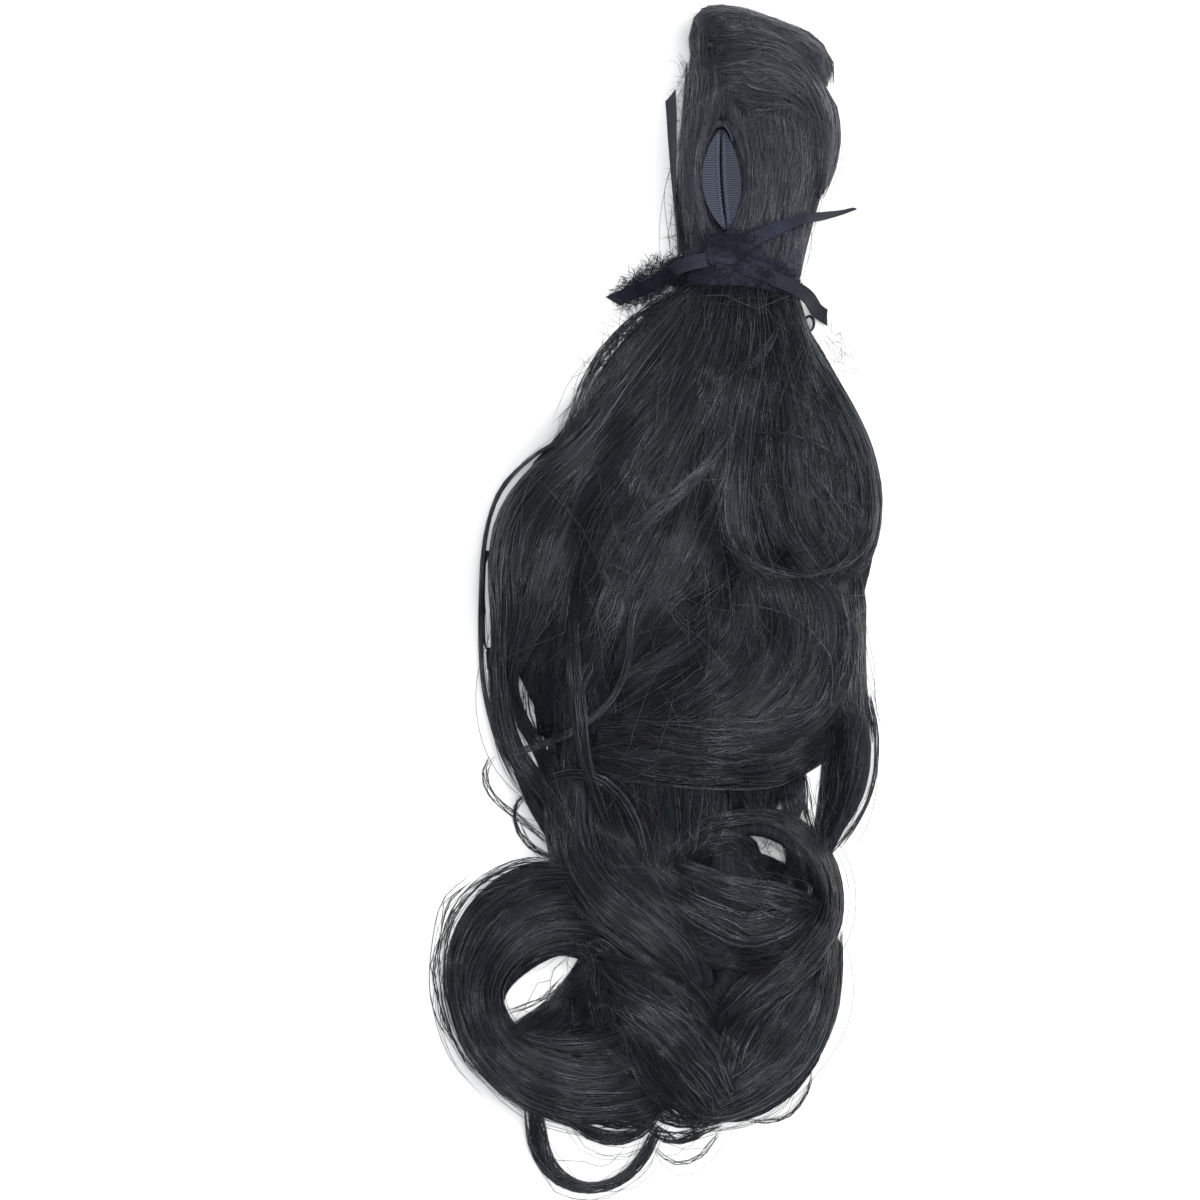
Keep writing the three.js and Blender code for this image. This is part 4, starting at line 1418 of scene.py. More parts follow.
    wave: tuple[Lock, ...] = (
        Lock(((792, 556, 3, 40, 8), (814, 600, 4, 46, 8), (820, 645, 5, 48, 8), (804, 690, 5, 46, 8),
              (768, 720, 4, 42, 8), (728, 738, 3, 36, 7), (690, 748, 1, 28, 6)), strays=6),
        Lock(((762, 562, 3, 36, 8), (780, 605, 5, 46, 8), (778, 650, 6, 50, 9), (752, 690, 7, 48, 9),
              (716, 712, 6, 44, 8), (680, 727, 4, 36, 7), (645, 735, 1, 26, 6))),
        Lock(((738, 566, 2, 30, 7), (746, 606, 4, 40, 8), (733, 646, 5, 42, 8), (704, 678, 7, 42, 8),
              (672, 698, 6, 38, 8), (640, 714, 3, 30, 6), (612, 724, 1, 22, 5))),
        Lock(((716, 576, 1, 26, 6), (714, 610, 3, 32, 7), (694, 640, 6, 34, 7), (664, 660, 5, 32, 7),
              (636, 676, 3, 28, 6), (608, 692, 1, 20, 5))),
        Lock(((832, 668, 1, 26, 7), (820, 706, 4, 36, 8), (786, 728, 7, 42, 9), (748, 734, 9, 44, 9),
              (706, 732, 7, 42, 9), (662, 728, 4, 38, 8), (618, 726, 1, 30, 6), (588, 728, 0, 22, 5)),
             cover=2.4),
        Lock(((838, 696, 1, 24, 7), (826, 736, 3, 36, 8), (792, 759, 6, 42, 9), (750, 765, 8, 44, 10),
              (704, 764, 6, 44, 9), (656, 761, 4, 42, 9), (608, 758, 2, 38, 8), (572, 760, 0, 28, 6)),
             cover=2.4, strays=6),
    )
    left_stream: tuple[Lock, ...] = (
        Lock(((500, 590, 1, 8, 4), (501, 636, 1, 18, 6), (499, 676, 2, 22, 6), (503, 720, 2, 20, 6),
              (520, 762, 2, 20, 6),
              (550, 796, 2, 18, 7), (570, 830, 1, 18, 6), (584, 866, 0, 18, 5)), strays=8, cover=2.6),
        Lock(((520, 652, 1, 8, 4), (513, 684, 2, 10, 4), (522, 720, 2, 12, 4), (540, 752, 2, 14, 4),
              (556, 790, 2, 14, 4), (570, 830, 1, 12, 4)), strays=4),
        Lock(((572, 438, 2, 4, 2), (536, 456, 2, 4, 2), (501, 488, 1, 4, 2), (485, 536, 1, 4, 2),
              (480, 607, 1, 4, 2),
              (481, 668, 1, 4, 2), (489, 714, 1, 5, 2), (506, 760, 1, 8, 2), (530, 800, 1, 8, 2)),
             body=False, cover=3.0, strays=4, wander=0.2, tone=0.0),
        Lock(((530, 646, 1, 12, 2), (520, 690, 1, 18, 2), (524, 722, 1, 18, 2), (540, 752, 1, 10, 2)),
             body=False, cover=0.7, strays=1, wander=0.4, tone=0.3),
    )
    right_stream: tuple[Lock, ...] = (
        Lock(((845, 690, 0, 42, 8), (845, 735, 1, 40, 8), (840, 780, 1, 36, 7), (829, 822, 1, 24, 6),
              (821, 854, 0, 14, 4)), strays=4),
        Lock(((868, 690, 0, 6, 3), (878, 735, 1, 5, 2), (874, 785, 1, 5, 2), (856, 826, 1, 5, 2),
              (832, 856, 1, 5, 2)), body=False, cover=2.6, strays=4, wander=0.2, tone=0.1),
        Lock(((796, 752, 1, 10, 3), (806, 790, 1, 10, 3), (812, 826, 1, 8, 3), (816, 856, 1, 6, 2)),
             body=False, cover=1.0, strays=4, wander=0.4),
    )
    trunk: tuple[Lock, ...] = (
        Lock(((572, 726, -6, 40, 7), (568, 772, -3, 46, 8), (568, 820, 0, 48, 9), (578, 862, 3, 52, 10),
              (600, 894, 5, 54, 10), (630, 918, 6, 54, 10), (660, 940, 8, 50, 10), (686, 964, 4, 34, 8),
              (700, 992, 1, 20, 5)), strays=6, cover=2.6),
        Lock(((606, 730, -6, 44, 7), (608, 775, -4, 46, 8), (612, 815, -1, 46, 9), (624, 850, 2, 44, 9),
              (648, 882, 3, 42, 9), (676, 912, 3, 38, 8), (704, 942, 1, 26, 6))),
        Lock(((652, 770, 0, 44, 8), (656, 810, 0, 48, 8), (660, 850, 0, 46, 8), (676, 890, 0, 40, 8),
              (704, 925, 0, 30, 6))),
        Lock(((700, 772, 0, 50, 8), (706, 800, 0, 50, 8), (700, 832, 0, 44, 8), (690, 862, 0, 30, 6))),
        Lock(((748, 760, -1, 46, 8), (760, 790, -1, 44, 7), (770, 818, -1, 34, 5))),
        Lock(((782, 756, -1, 34, 7), (792, 786, -1, 30, 6), (797, 824, -1, 20, 5))),
        Lock(((541, 784, 2, 8, 3), (566, 771, 4, 8, 3), (598, 775, 5, 9, 3), (622, 796, 5, 10, 3),
              (637, 826, 5, 10, 3), (644, 866, 3, 8, 3)), body=False, cover=2.2, tone=0.85, strays=4),
        Lock(((496, 753, 1, 6, 2), (483, 772, 1, 6, 2), (490, 796, 1, 6, 2), (512, 815, 1, 6, 2),
              (544, 838, 1, 6, 2), (575, 860, 1, 6, 2)), body=False, cover=0.8, strays=3, wander=0.7),
        Lock(((546, 788, 1, 8, 2), (522, 794, 1, 8, 2), (514, 817, 1, 8, 2), (525, 841, 1, 8, 2),
              (546, 858, 1, 8, 2), (575, 864, 1, 6, 2)), body=False, cover=1.1, strays=3, wander=0.7),
    )
    right_curl: tuple[Lock | Fuzz, ...] = (
        Fuzz(((760, 818, 1, 16), (768, 840, 1, 22), (764, 862, 1, 18)), 50, length=13 * MM, heading=84,
             scatter=0.35, radius=0.1 * MM, tone=0.6),
        Lock(((664, 868, 0, 18, 6), (682, 842, 1, 20, 7), (708, 822, 2, 18, 6), (742, 813, 3, 14, 5),
              (776, 817, 3, 16, 6), (806, 836, 3, 20, 7), (827, 868, 2, 24, 8), (831, 902, 2, 26, 8),
              (821, 932, 3, 32, 8), (796, 957, 4, 34, 8), (764, 978, 5, 34, 8), (736, 1002, 3, 30, 7),
              (714, 1030, 1, 20, 5)), strays=8, cover=2.6),
        Lock(((690, 850, 0, 24, 6), (716, 838, 1, 28, 7), (742, 842, 2, 24, 7), (756, 866, 2, 20, 7),
              (770, 884, 2, 22, 7), (796, 898, 1, 20, 6), (818, 908, 0, 16, 5)), cover=2.4),
        Lock(((672, 862, 3, 16, 5), (704, 873, 5, 20, 6), (742, 887, 6, 24, 6), (780, 893, 6, 24, 6),
              (812, 904, 3, 18, 5)), cover=2.6, tone=0.65),
        Lock(((670, 890, 2, 24, 6), (704, 912, 4, 34, 8), (742, 926, 6, 38, 8), (780, 918, 5, 34, 8),
              (808, 902, 2, 20, 6)), cover=2.6, tone=0.6),
        Lock(((684, 930, 0, 26, 6), (712, 948, 2, 34, 8), (748, 956, 2, 36, 8), (786, 944, 1, 30, 7))),
        Lock(((780, 822, 0, 12, 5), (790, 846, 1, 16, 6), (796, 872, 1, 16, 6), (806, 898, 1, 12, 5))),
        Lock(((738, 856, 0, 16, 5), (760, 866, 0, 22, 6), (784, 874, 0, 20, 6), (800, 888, 0, 12, 5)),
             tone=0.35),
    )
    left_curl: tuple[Lock, ...] = (
        Lock(((606, 876, 0, 24, 7), (568, 874, 1, 26, 8), (528, 880, 2, 28, 8), (492, 900, 2, 26, 8),
              (467, 931, 1, 24, 8), (456, 968, 1, 22, 8), (461, 1008, 1, 22, 8), (478, 1048, 1, 24, 8),
              (508, 1082, 1, 26, 8), (548, 1105, 1, 28, 8), (592, 1113, 1, 26, 7), (636, 1110, 1, 24, 6),
              (678, 1094, 0, 22, 5), (706, 1070, 0, 16, 4)), strays=22, cover=2.6),
        Lock(((602, 902, 0, 28, 7), (566, 900, 2, 30, 8), (530, 908, 3, 30, 8), (500, 929, 3, 26, 8),
              (481, 959, 2, 22, 8), (474, 990, 2, 20, 8), (480, 1022, 2, 22, 8), (498, 1052, 2, 26, 8),
              (530, 1076, 2, 30, 8), (572, 1090, 2, 32, 8), (616, 1090, 1, 28, 7), (656, 1078, 0, 26, 5),
              (690, 1056, 0, 16, 4)), cover=2.6, strays=6),
        Lock(((604, 930, 0, 28, 7), (568, 926, 2, 30, 8), (535, 935, 3, 26, 8), (510, 956, 3, 20, 7),
              (496, 984, 2, 17, 7), (497, 1012, 2, 18, 7), (512, 1038, 2, 24, 8), (544, 1058, 2, 30, 8),
              (584, 1068, 2, 32, 8), (622, 1064, 1, 26, 7), (650, 1052, 0, 18, 5)), cover=2.6, strays=4),
        Lock(((600, 956, 0, 24, 6), (570, 947, 1, 20, 7), (545, 949, 1, 12, 6), (522, 961, 1, 8, 5)),
             strays=4),
        Lock(((508, 1024, 0, 8, 5), (526, 1034, 1, 12, 6), (554, 1040, 1, 18, 7), (586, 1040, 2, 26, 7),
              (618, 1030, 1, 26, 6), (642, 1012, 0, 18, 5)), strays=4),
        Lock(((508, 1030, 1, 10, 4), (532, 1022, 2, 14, 5), (556, 1006, 2, 18, 5), (576, 984, 2, 20, 5),
              (592, 956, 0, 18, 4)), cover=2.0, strays=8, wander=0.3),
        Lock(((520, 1040, 0, 12, 4), (548, 1030, 1, 20, 5), (576, 1012, 1, 26, 5), (600, 986, 0, 26, 5)),
             cover=2.0, strays=6, wander=0.3, tone=0.35),
        Lock(((562, 930, 0, 14, 5), (582, 944, 1, 16, 5), (592, 968, 1, 18, 5), (590, 996, 0, 16, 5)),
             cover=2.0, strays=4),
        Lock(((506, 1012, 1, 4, 2), (524, 1010, 1, 5, 2), (546, 998, 1, 5, 2), (566, 978, 1, 4, 2)),
             body=False, cover=0.7, strays=4, wander=0.8),
        Lock(((560, 862, 0, 6, 2), (518, 864, 1, 7, 2), (478, 884, 1, 7, 2), (450, 920, 1, 7, 2),
              (441, 965, 1, 7, 2), (446, 1010, 1, 7, 2), (464, 1056, 1, 8, 2), (492, 1090, 1, 8, 2)),
             body=False, cover=1.4, strays=16, wander=0.8),
        Lock(((470, 880, 1, 6, 2), (444, 905, 1, 8, 2), (434, 950, 1, 8, 2), (432, 990, 1, 8, 2),
              (440, 1024, 1, 8, 2), (462, 1058, 1, 6, 2)), body=False, cover=0.8, strays=0, wander=0.5),
    )
    rim: tuple[Lock, ...] = (
        Lock(((534, 1106, 1, 8, 3), (556, 1119, 1, 8, 3), (574, 1127, 1, 8, 3), (592, 1134, 1, 6, 3)),
             body=False, cover=2.4, strays=3, wander=0.2),
    )
    heart: tuple[Lock, ...] = (
        Lock(((588, 950, 0, 30, 7), (612, 975, 1, 40, 8), (640, 1000, 1, 40, 8), (660, 1030, 1, 32, 7))),
        Lock(((636, 950, 0, 34, 7), (668, 975, 1, 38, 8), (700, 1000, 1, 34, 7), (716, 1030, 0, 24, 6))),
        Lock(((596, 990, 0, 30, 6), (604, 1022, 1, 34, 7), (622, 1050, 1, 34, 7), (650, 1072, 0, 26, 5))),
        Lock(((588, 936, 0, 16, 5), (604, 948, 1, 20, 6), (624, 962, 0, 16, 5))),
        Lock(((694, 1012, 0, 20, 6), (712, 1034, 1, 26, 7), (724, 1060, 0, 20, 6))),
        Lock(((566, 1010, 0, 12, 4), (582, 1022, 0, 16, 4), (602, 1030, 0, 14, 4))),
    )
    lower_right: tuple[Lock, ...] = (
        Lock(((832, 930, 0, 22, 8), (831, 966, 1, 28, 9), (823, 1006, 1, 34, 9), (805, 1042, 1, 38, 9),
              (779, 1072, 1, 38, 9), (746, 1095, 1, 38, 8), (710, 1106, 0, 30, 7), (672, 1104, 0, 20, 5)),
             strays=14, cover=2.4),
        Lock(((830, 928, 1, 20, 7), (806, 955, 4, 30, 8), (776, 979, 6, 32, 8), (750, 1005, 5, 30, 8),
              (732, 1038, 3, 28, 7), (724, 1072, 1, 26, 6), (730, 1102, 0, 18, 5)), cover=2.6, tone=0.65),
        Lock(((822, 970, 0, 26, 7), (800, 1008, 1, 38, 8), (772, 1044, 1, 42, 8), (742, 1070, 1, 38, 7),
              (708, 1086, 0, 26, 6)), strays=5),
        Lock(((790, 985, -1, 26, 7), (768, 1016, 0, 34, 8), (750, 1046, 0, 34, 7), (738, 1076, 0, 28, 6))),
    )
    # Painted highlights on the curls and the tip: short locks of the palest strands, tone 1.0.
    painted_curl_highlights: tuple[Lock, ...] = (
        Lock(((660, 922, 9, 14, 3), (676, 943, 10, 22, 3), (692, 964, 8, 14, 3))),
        Lock(((702, 906, 8, 12, 3), (730, 922, 9, 18, 3), (754, 934, 8, 12, 3))),
        Lock(((752, 896, 8, 10, 3), (774, 906, 9, 14, 3), (796, 910, 7, 10, 3))),
        Lock(((680, 1050, 10, 16, 3), (696, 1070, 11, 24, 3), (712, 1090, 9, 16, 3))),
        Lock(((740, 1004, 8, 12, 3), (762, 990, 9, 16, 3), (786, 976, 8, 12, 3))),
        Lock(((572, 1094, 5, 14, 3), (604, 1098, 6, 20, 3), (634, 1094, 5, 14, 3))),
        Lock(((474, 900, 4, 14, 3), (490, 888, 5, 18, 3), (512, 880, 4, 14, 3))),
    )
    tip: tuple[Lock, ...] = (
        Lock(((600, 980, 1, 22, 6), (632, 996, 4, 36, 8), (666, 1020, 6, 46, 9), (692, 1050, 8, 48, 9),
              (712, 1082, 5, 42, 8), (730, 1114, 1, 26, 5)), cover=2.6, tone=0.6, strays=5),
        Lock(((586, 960, 1, 22, 6), (622, 966, 3, 30, 7), (658, 985, 4, 34, 7), (686, 1010, 4, 32, 7),
              (704, 1038, 1, 24, 5)), cover=2.4),
        Lock(((612, 1008, 1, 20, 6), (634, 1034, 4, 32, 7), (650, 1064, 4, 36, 7), (668, 1092, 3, 32, 6),
              (692, 1116, 0, 20, 4)), cover=2.4, strays=5),
    )
    loop_wide: tuple[Lock, ...] = (
        Lock(((533, 1096, 0, 17, 4), (535, 1130, 1, 20, 4), (543, 1161, 1, 19, 4), (561, 1183, 1, 16, 4),
              (590, 1192, 1, 11, 4), (620, 1184, 1, 11, 3), (643, 1162, 1, 11, 3), (659, 1128, 0, 10, 3)),
             cover=4.0, strays=8, wander=0.35, inner=0.62),
    )
    loop_small: tuple[Lock, ...] = (
        Lock(((566, 1114, 0, 12, 3), (586, 1134, 1, 14, 3), (614, 1142, 1, 14, 3), (642, 1134, 1, 12, 3),
              (660, 1112, 0, 10, 3)), cover=3.0, strays=6, wander=0.4, inner=0.55),
        Lock(((590, 1118, 0, 12, 3), (612, 1126, 1, 12, 3), (636, 1124, 1, 12, 3), (656, 1108, 0, 10, 3)),
             cover=2.0, strays=2, wander=0.4, inner=0.5),
    )
    loop_right: tuple[Lock, ...] = (
        Lock(((644, 1120, 1, 10, 3), (664, 1140, 1, 12, 3), (690, 1140, 1, 12, 3), (718, 1118, 1, 12, 3)),
             cover=2.4, strays=4, body=False, wander=0.5),
        Lock(((652, 1108, 1, 12, 3), (672, 1124, 1, 14, 3), (700, 1122, 1, 14, 3), (728, 1108, 1, 12, 3)),
             cover=2.6, strays=3, body=False, wander=0.4),
        Lock(((654, 1150, 1, 4, 2), (676, 1168, 1, 4, 2), (702, 1160, 1, 4, 2), (722, 1130, 1, 4, 2)),
             cover=0.7, strays=2, body=False, wander=0.5),
        Lock(((736, 1112, 1, 5, 2), (768, 1125, 1, 5, 2), (794, 1116, 1, 5, 2), (809, 1090, 1, 5, 2),
              (812, 1062, 1, 4, 2)), cover=0.8, strays=3, body=False, wander=0.6),
    )

    def tables(self) -> dict[str, tuple[Lock | Fuzz, ...]]:
        """Names the frame's solid that each group of locks stands for."""
        # The stray hairs are drawn in the palest tone, a painted glint.
        arcs = tuple(replace(arc, cover=0.35, tone=1.0, strays=1, wander=1.2, radius=0.16 * MM,
                             body=False) for arc in self.arcs)
        # The painted highlight locks are drawn sparse and thin, in the palest tone.
        painted_highlights, painted_curl_highlights = (
            tuple(replace(part, cover=0.55, tone=1.0, strays=0, veil=0.05, radius=0.22 * MM, splay=0.0,
                          body=False) for part in group) for group in (self.painted_highlights, self.painted_curl_highlights))
        return {"hair_fall": self.fall + self.patch + arcs + painted_highlights, "cross_wave": self.wave,
                "left_stream": self.left_stream, "right_stream": self.right_stream,
                "lower_fall": self.trunk, "right_curl": self.right_curl,
                "left_curl": self.left_curl + self.rim,
                "curl_heart": self.heart, "lower_right_curl": self.lower_right,
                "tip_lock": self.tip + painted_curl_highlights,
                "tip_loop_wide": self.loop_wide, "tip_loop_small": self.loop_small,
                "tip_loop_right": self.loop_right}


# Ribbons


@dataclass
class Ribbon:
    """Satin ribbon: a thin strip with a slightly raised edge, along any route."""

    width: float = 6.5 * MM
    thick: float = 0.55 * MM
    across: int = 8
    cup: float = 0.35 * MM

    def strip(self, name: str, line: Array, side: Array, rise: Array,
              closed: bool = False, slant: float = 0.0) -> Object:
        """Makes a strip along a line.

        Args:
            name: Name of the object.
            line: Middle points.
            side: Direction of the width at each point.
            rise: Direction of the upper face at each point.
            closed: Whether the line comes back to its start.
            slant: How far the end's cut leans along the ribbon, in metres.

        Returns:
            The strip.
        """
        share = np.linspace(-1, 1, self.across + 1)
        curl = self.cup * (share ** 2 - 0.5) + 0.12 * MM * (np.abs(share) > 0.9)
        way = unit(np.gradient(line, axis=0))
        lean = np.zeros(len(line))
        lean[-3:] = slant * np.array([0.3, 0.65, 1.0])
        top = (line[:, None] + side[:, None] * (share * self.width / 2)[:, None]
               + rise[:, None] * (curl + self.thick / 2)[:, None]
               + way[:, None] * (lean[:, None] * share)[..., None])
        low = top - rise[:, None] * self.thick
        points = np.concatenate([top, low[:, ::-1]], axis=1)
        points[..., 2] = np.maximum(points[..., 2], 0.1 * MM)
        sides = points.shape[1]
        run = lengths_along(line)
        place = np.concatenate([share, share[::-1]]) * self.width / 2
        flow = np.stack([np.broadcast_to(place, points.shape[:2]),
                         np.broadcast_to(run[:, None], points.shape[:2]),
                         np.zeros(points.shape[:2])], axis=-1)
        rings = len(line)
        quads = ring_faces(rings, sides)[:, ::-1]
        if closed:
            a = np.arange(sides)
            b = (a + 1) % sides
            last = (rings - 1) * sides
            quads = np.vstack([quads, np.column_stack([last + b, b, a, last + a])])
        else:
            cap = flat_cap(self.across)
            quads = np.vstack([quads, cap[:, ::-1], cap + (rings - 1) * sides])
        piece = make_object(name, points.reshape(-1, 3), quads)
        set_flow(piece, flow.reshape(-1, 3))
        return piece


@dataclass
class RibbonEnds:
    """The four free ends of the tie's ribbon. Routes are in metres from the tie, with a turn in degrees."""

    ribbon: Ribbon = field(default_factory=Ribbon)
    steps: int = 28
    upper_left: tuple[Row, ...] = (
        (-0.0288, 0.0010, 0.0080, -89), (-0.0290, 0.0080, 0.0076, -89), (-0.0294, 0.0170, 0.0066, -89),
        (-0.0302, 0.0270, 0.0052, -88), (-0.0310, 0.0380, 0.0038, -82), (-0.0314, 0.0500, 0.0034, -70),
        (-0.0318, 0.0620, 0.0031, -58), (-0.0321, 0.0720, 0.0028, -50), (-0.0326, 0.0810, 0.0027, -46),
    )
    lower_left: tuple[Row, ...] = (
        (-0.0168, 0.0016, 0.0284, 0), (-0.0225, 0.0006, 0.0274, 0), (-0.0270, -0.0004, 0.0242, 0),
        (-0.0304, -0.0014, 0.0185, 0), (-0.0330, -0.0028, 0.0115, 0), (-0.0370, -0.0048, 0.0050, 0),
        (-0.0440, -0.0078, 0.0014, 0), (-0.0520, -0.0110, 0.0008, 0), (-0.0595, -0.0144, 0.0008, 0),
    )
    lower_right: tuple[Row, ...] = (
        (-0.0046, 0.0000, 0.0282, 0), (0.0030, -0.0030, 0.0282, 0), (0.0110, -0.0060, 0.0284, 0),
        (0.0185, -0.0090, 0.0282, 0), (0.0250, -0.0120, 0.0262, 0), (0.0296, -0.0146, 0.0210, 0),
        (0.0324, -0.0170, 0.0130, 0), (0.0350, -0.0192, 0.0054, 0), (0.0400, -0.0220, 0.0011, 0),
    )
    upper_right: tuple[Row, ...] = (
        (-0.0046, 0.0058, 0.0296, 0), (0.0010, 0.0090, 0.0296, 0), (0.0080, 0.0126, 0.0298, 14),
        (0.0155, 0.0160, 0.0300, 30), (0.0225, 0.0188, 0.0298, 46), (0.0290, 0.0208, 0.0278, 60),
        (0.0345, 0.0224, 0.0205, 70), (0.0405, 0.0246, 0.0100, 76), (0.0460, 0.0264, 0.0050, 82),
        (0.0520, 0.0284, 0.0038, 88),
    )

    def build(self, plan: Plan, satin: Material, pale: Material,
              felt: Material) -> None:
        """Args:
            plan: The plan.
            satin: Finish of the smooth end.
            pale: Finish of the end that stands in the light: the satin painted paler, as painted light.
            felt: Finish of the ends that show their matt face.
        """
        self._end("ribbon_upper_left", self.upper_left, plan, pale)
        self._end("ribbon_lower_left", self.lower_left, plan, felt)
        self._end("ribbon_lower_right", self.lower_right, plan, satin)
        self._end("ribbon_upper_right", self.upper_right, plan, felt)

    def _end(self, node: str, route: tuple[Row, ...], plan: Plan, material: Material) -> None:
        """Makes one free end.

        Args:
            node: The frame's solid that it stands for.
            route: Its route.
            plan: The plan.
            material: Its finish.
        """
        rows = np.array(route)
        reach = float(lengths_along(rows[:, :3])[-1])
        line = smooth_line(rows, reach / self.steps, measured=3)
        path = line[:, :3] + np.array([plan.tie.x, plan.tie.y, 0.0])
        way = unit(np.gradient(path, axis=0))
        side = beside(way)
        rise = np.cross(side, way)
        turn = np.radians(line[:, 3])[:, None]
        turned = side * np.cos(turn) - rise * np.sin(turn)
        up = rise * np.cos(turn) + side * np.sin(turn)
        piece = self.ribbon.strip(f"{node}_satin", path, turned, up, slant=2.2 * MM)
        dress(piece, material, Slot.SATIN, node)


@dataclass
class Tie:
    """The ribbon wound round the neck, its knot, and the small folded loop beside the neck."""

    ribbon: Ribbon = field(default_factory=lambda: Ribbon(cup=0.2 * MM))
    turns: int = 4
    turn_gap: float = 2.4 * MM
    cloth: tuple[Lock, ...] = (
        Lock(((662, 280, 1, 16, 4), (676, 272, 1, 34, 5), (696, 270, 2, 42, 5), (720, 271, 3, 44, 5),
              (744, 275, 4, 36, 4), (772, 284, 4, 28, 4), (800, 294, 1, 16, 5))),
        Lock(((700, 238, 1, 14, 4), (714, 244, 4, 20, 4), (730, 249, 7, 24, 4), (748, 258, 4, 20, 4))),
        Lock(((730, 247, 6, 18, 4), (756, 240, 4, 16, 4), (782, 232, 3, 13, 4), (806, 225, 1, 9, 4))),
        Lock(((696, 256, 2, 14, 4), (710, 258, 7, 22, 4), (728, 261, 7, 22, 4), (746, 264, 4, 16, 4))),
    )
    fuzz: tuple[Fuzz, ...] = (
        Fuzz(((664, 280, 1.0, 22), (682, 271, 1.0, 38), (716, 270, 2.4, 48), (745, 275, 3.0, 38),
              (775, 284, 3.0, 30), (799, 293, 0.8, 18)), 950, length=3.8 * MM, radius=0.13 * MM,
             heading=-12, scatter=1.2, curl=0.35, rise=0.8 * MM),
        Fuzz(((700, 240, 1.4, 20), (716, 245, 3.4, 24), (732, 249, 5.4, 26), (748, 257, 3.4, 24)), 420,
             length=3.4 * MM, radius=0.12 * MM, heading=-30, scatter=1.2, curl=0.35, rise=0.7 * MM),
        Fuzz(((736, 245, 4.6, 18), (760, 239, 3.4, 17), (786, 231, 2.6, 14), (812, 223, 1.6, 10)), 320,
             length=3.2 * MM, radius=0.1 * MM, heading=20, scatter=1.0, curl=0.35, rise=0.5 * MM),
        Fuzz(((684, 264, 2.0, 20), (668, 272, 9.0, 30), (650, 281, 6.0, 32), (632, 291, 2.4, 24)), 700,
             length=5 * MM, radius=0.14 * MM, heading=205, scatter=0.7),
        Fuzz(((676, 272, 13.0, 20), (660, 279, 9.0, 24), (640, 288, 6.0, 26), (618, 297, 3.4, 22)), 700,
             length=4 * MM, radius=0.14 * MM, heading=215, scatter=0.9),
    )

    def build(self, comb: Comb, felt: Material, satin: Material) -> None:
        """Makes the windings, the knot, the fuzzy cloth over them and the loop.

        Args:
            comb: The comb.
            felt: The cloth's finish.
            satin: The ribbon's finish.
        """
        self._windings(felt)
        self._knot(felt)
        for k, part in enumerate(self.cloth):
            points, quads, triangles, flow = comb.body(part)
            piece = make_object(f"tie_cloth_{k + 1}", points, quads, triangles)
            set_flow(piece, flow)
            dress(piece, felt, Slot.SATIN)
        sheaf = Sheaf()
        for zone in self.fuzz:
            comb.fuzz(zone, sheaf)
        dress(sheaf.make("tie_fuzz"), felt, Slot.SATIN)
        self._loop(satin)

    def _windings(self, satin: Material) -> None:
        """Winds the ribbon round the neck, each turn a little across the last.

        Args:
            satin: The ribbon's finish.
        """
        low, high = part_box("tie_ribbon")
        middle = (low + high) / 2
        half = (high - low) / 2
        steps = 72
        angle = np.linspace(0, 2 * math.pi, steps, endpoint=False)
        across, up = full_oval(angle)
        chance = np.random.default_rng(11)
        for k in range(self.turns):
            loose = (0.5 + 0.35 * k) * MM
            x = middle.x + (half.x - 1.8 * MM + loose * 0.5) * across
            z = np.maximum(middle.z + (half.z - 2.2 * MM + loose * 0.4) * up, 0.7 * MM)
            shift = (k - (self.turns - 1) / 2) * self.turn_gap
            lean = chance.uniform(-1.4, 1.4) * MM
            y = middle.y + shift + lean * np.sin(angle + k) + 0.3 * MM * np.sin(5 * angle + k)
            line = np.column_stack([x, y, z])
            way = ring_way(line)
            side = square_to(way, (0, 1, 0))
            rise = np.cross(side, way)
            piece = self.ribbon.strip(f"tie_winding_{k + 1}", line, side, rise, closed=True)
            dress(piece, satin, Slot.SATIN, *(["tie_ribbon"] if k == 0 else []))

    def _knot(self, satin: Material) -> None:
        """Makes the knot: a folded lump with a band of ribbon over it.

        Args:
            satin: The ribbon's finish.
        """
        low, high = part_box("tie_knot")
        middle = (low + high) / 2
        half = (high - low) / 2
        rings, sides = 26, 36
        rise = np.linspace(-math.pi / 2 + 0.04, math.pi / 2 - 0.04, rings)
        turn = np.linspace(0, 2 * math.pi, sides, endpoint=False)
        fold = 1 + 0.07 * np.sin(3 * turn + 1.1)[None, :] * np.cos(rise)[:, None]
        fold = fold + 0.05 * np.sin(7 * turn + 4 * rise[:, None])
        squash = 0.5
        x = middle.x + half.x * np.sin(rise)[:, None] * np.ones(sides)
        y = middle.y + half.y * np.cos(rise)[:, None] * np.cos(turn) * fold * 0.92
        z = middle.z + half.z * np.cos(rise)[:, None] * np.sin(turn) * fold * squash
        points = np.stack([x, y, z], axis=-1).reshape(-1, 3)
        knot = make_object("knot_lump", points, ring_faces(rings, sides)[:, ::-1],
                           end_fans(rings, sides)[:, ::-1])
        set_flow(knot, points)
        dress(knot, satin, Slot.SATIN, "tie_knot")
        angle = np.linspace(0, 2 * math.pi, 48, endpoint=False)
        line = np.column_stack([middle.x + 1.2 * MM * np.sin(angle), middle.y + half.y * np.cos(angle),
                                middle.z + half.z * 0.56 * np.sin(angle)])
        way = ring_way(line)
        side = square_to(way, (1, 0, 0))
        band = Ribbon(width=4.4 * MM, cup=-0.3 * MM)
        piece = band.strip("knot_band", line, side, np.cross(way, side), closed=True)
        dress(piece, satin, Slot.SATIN)

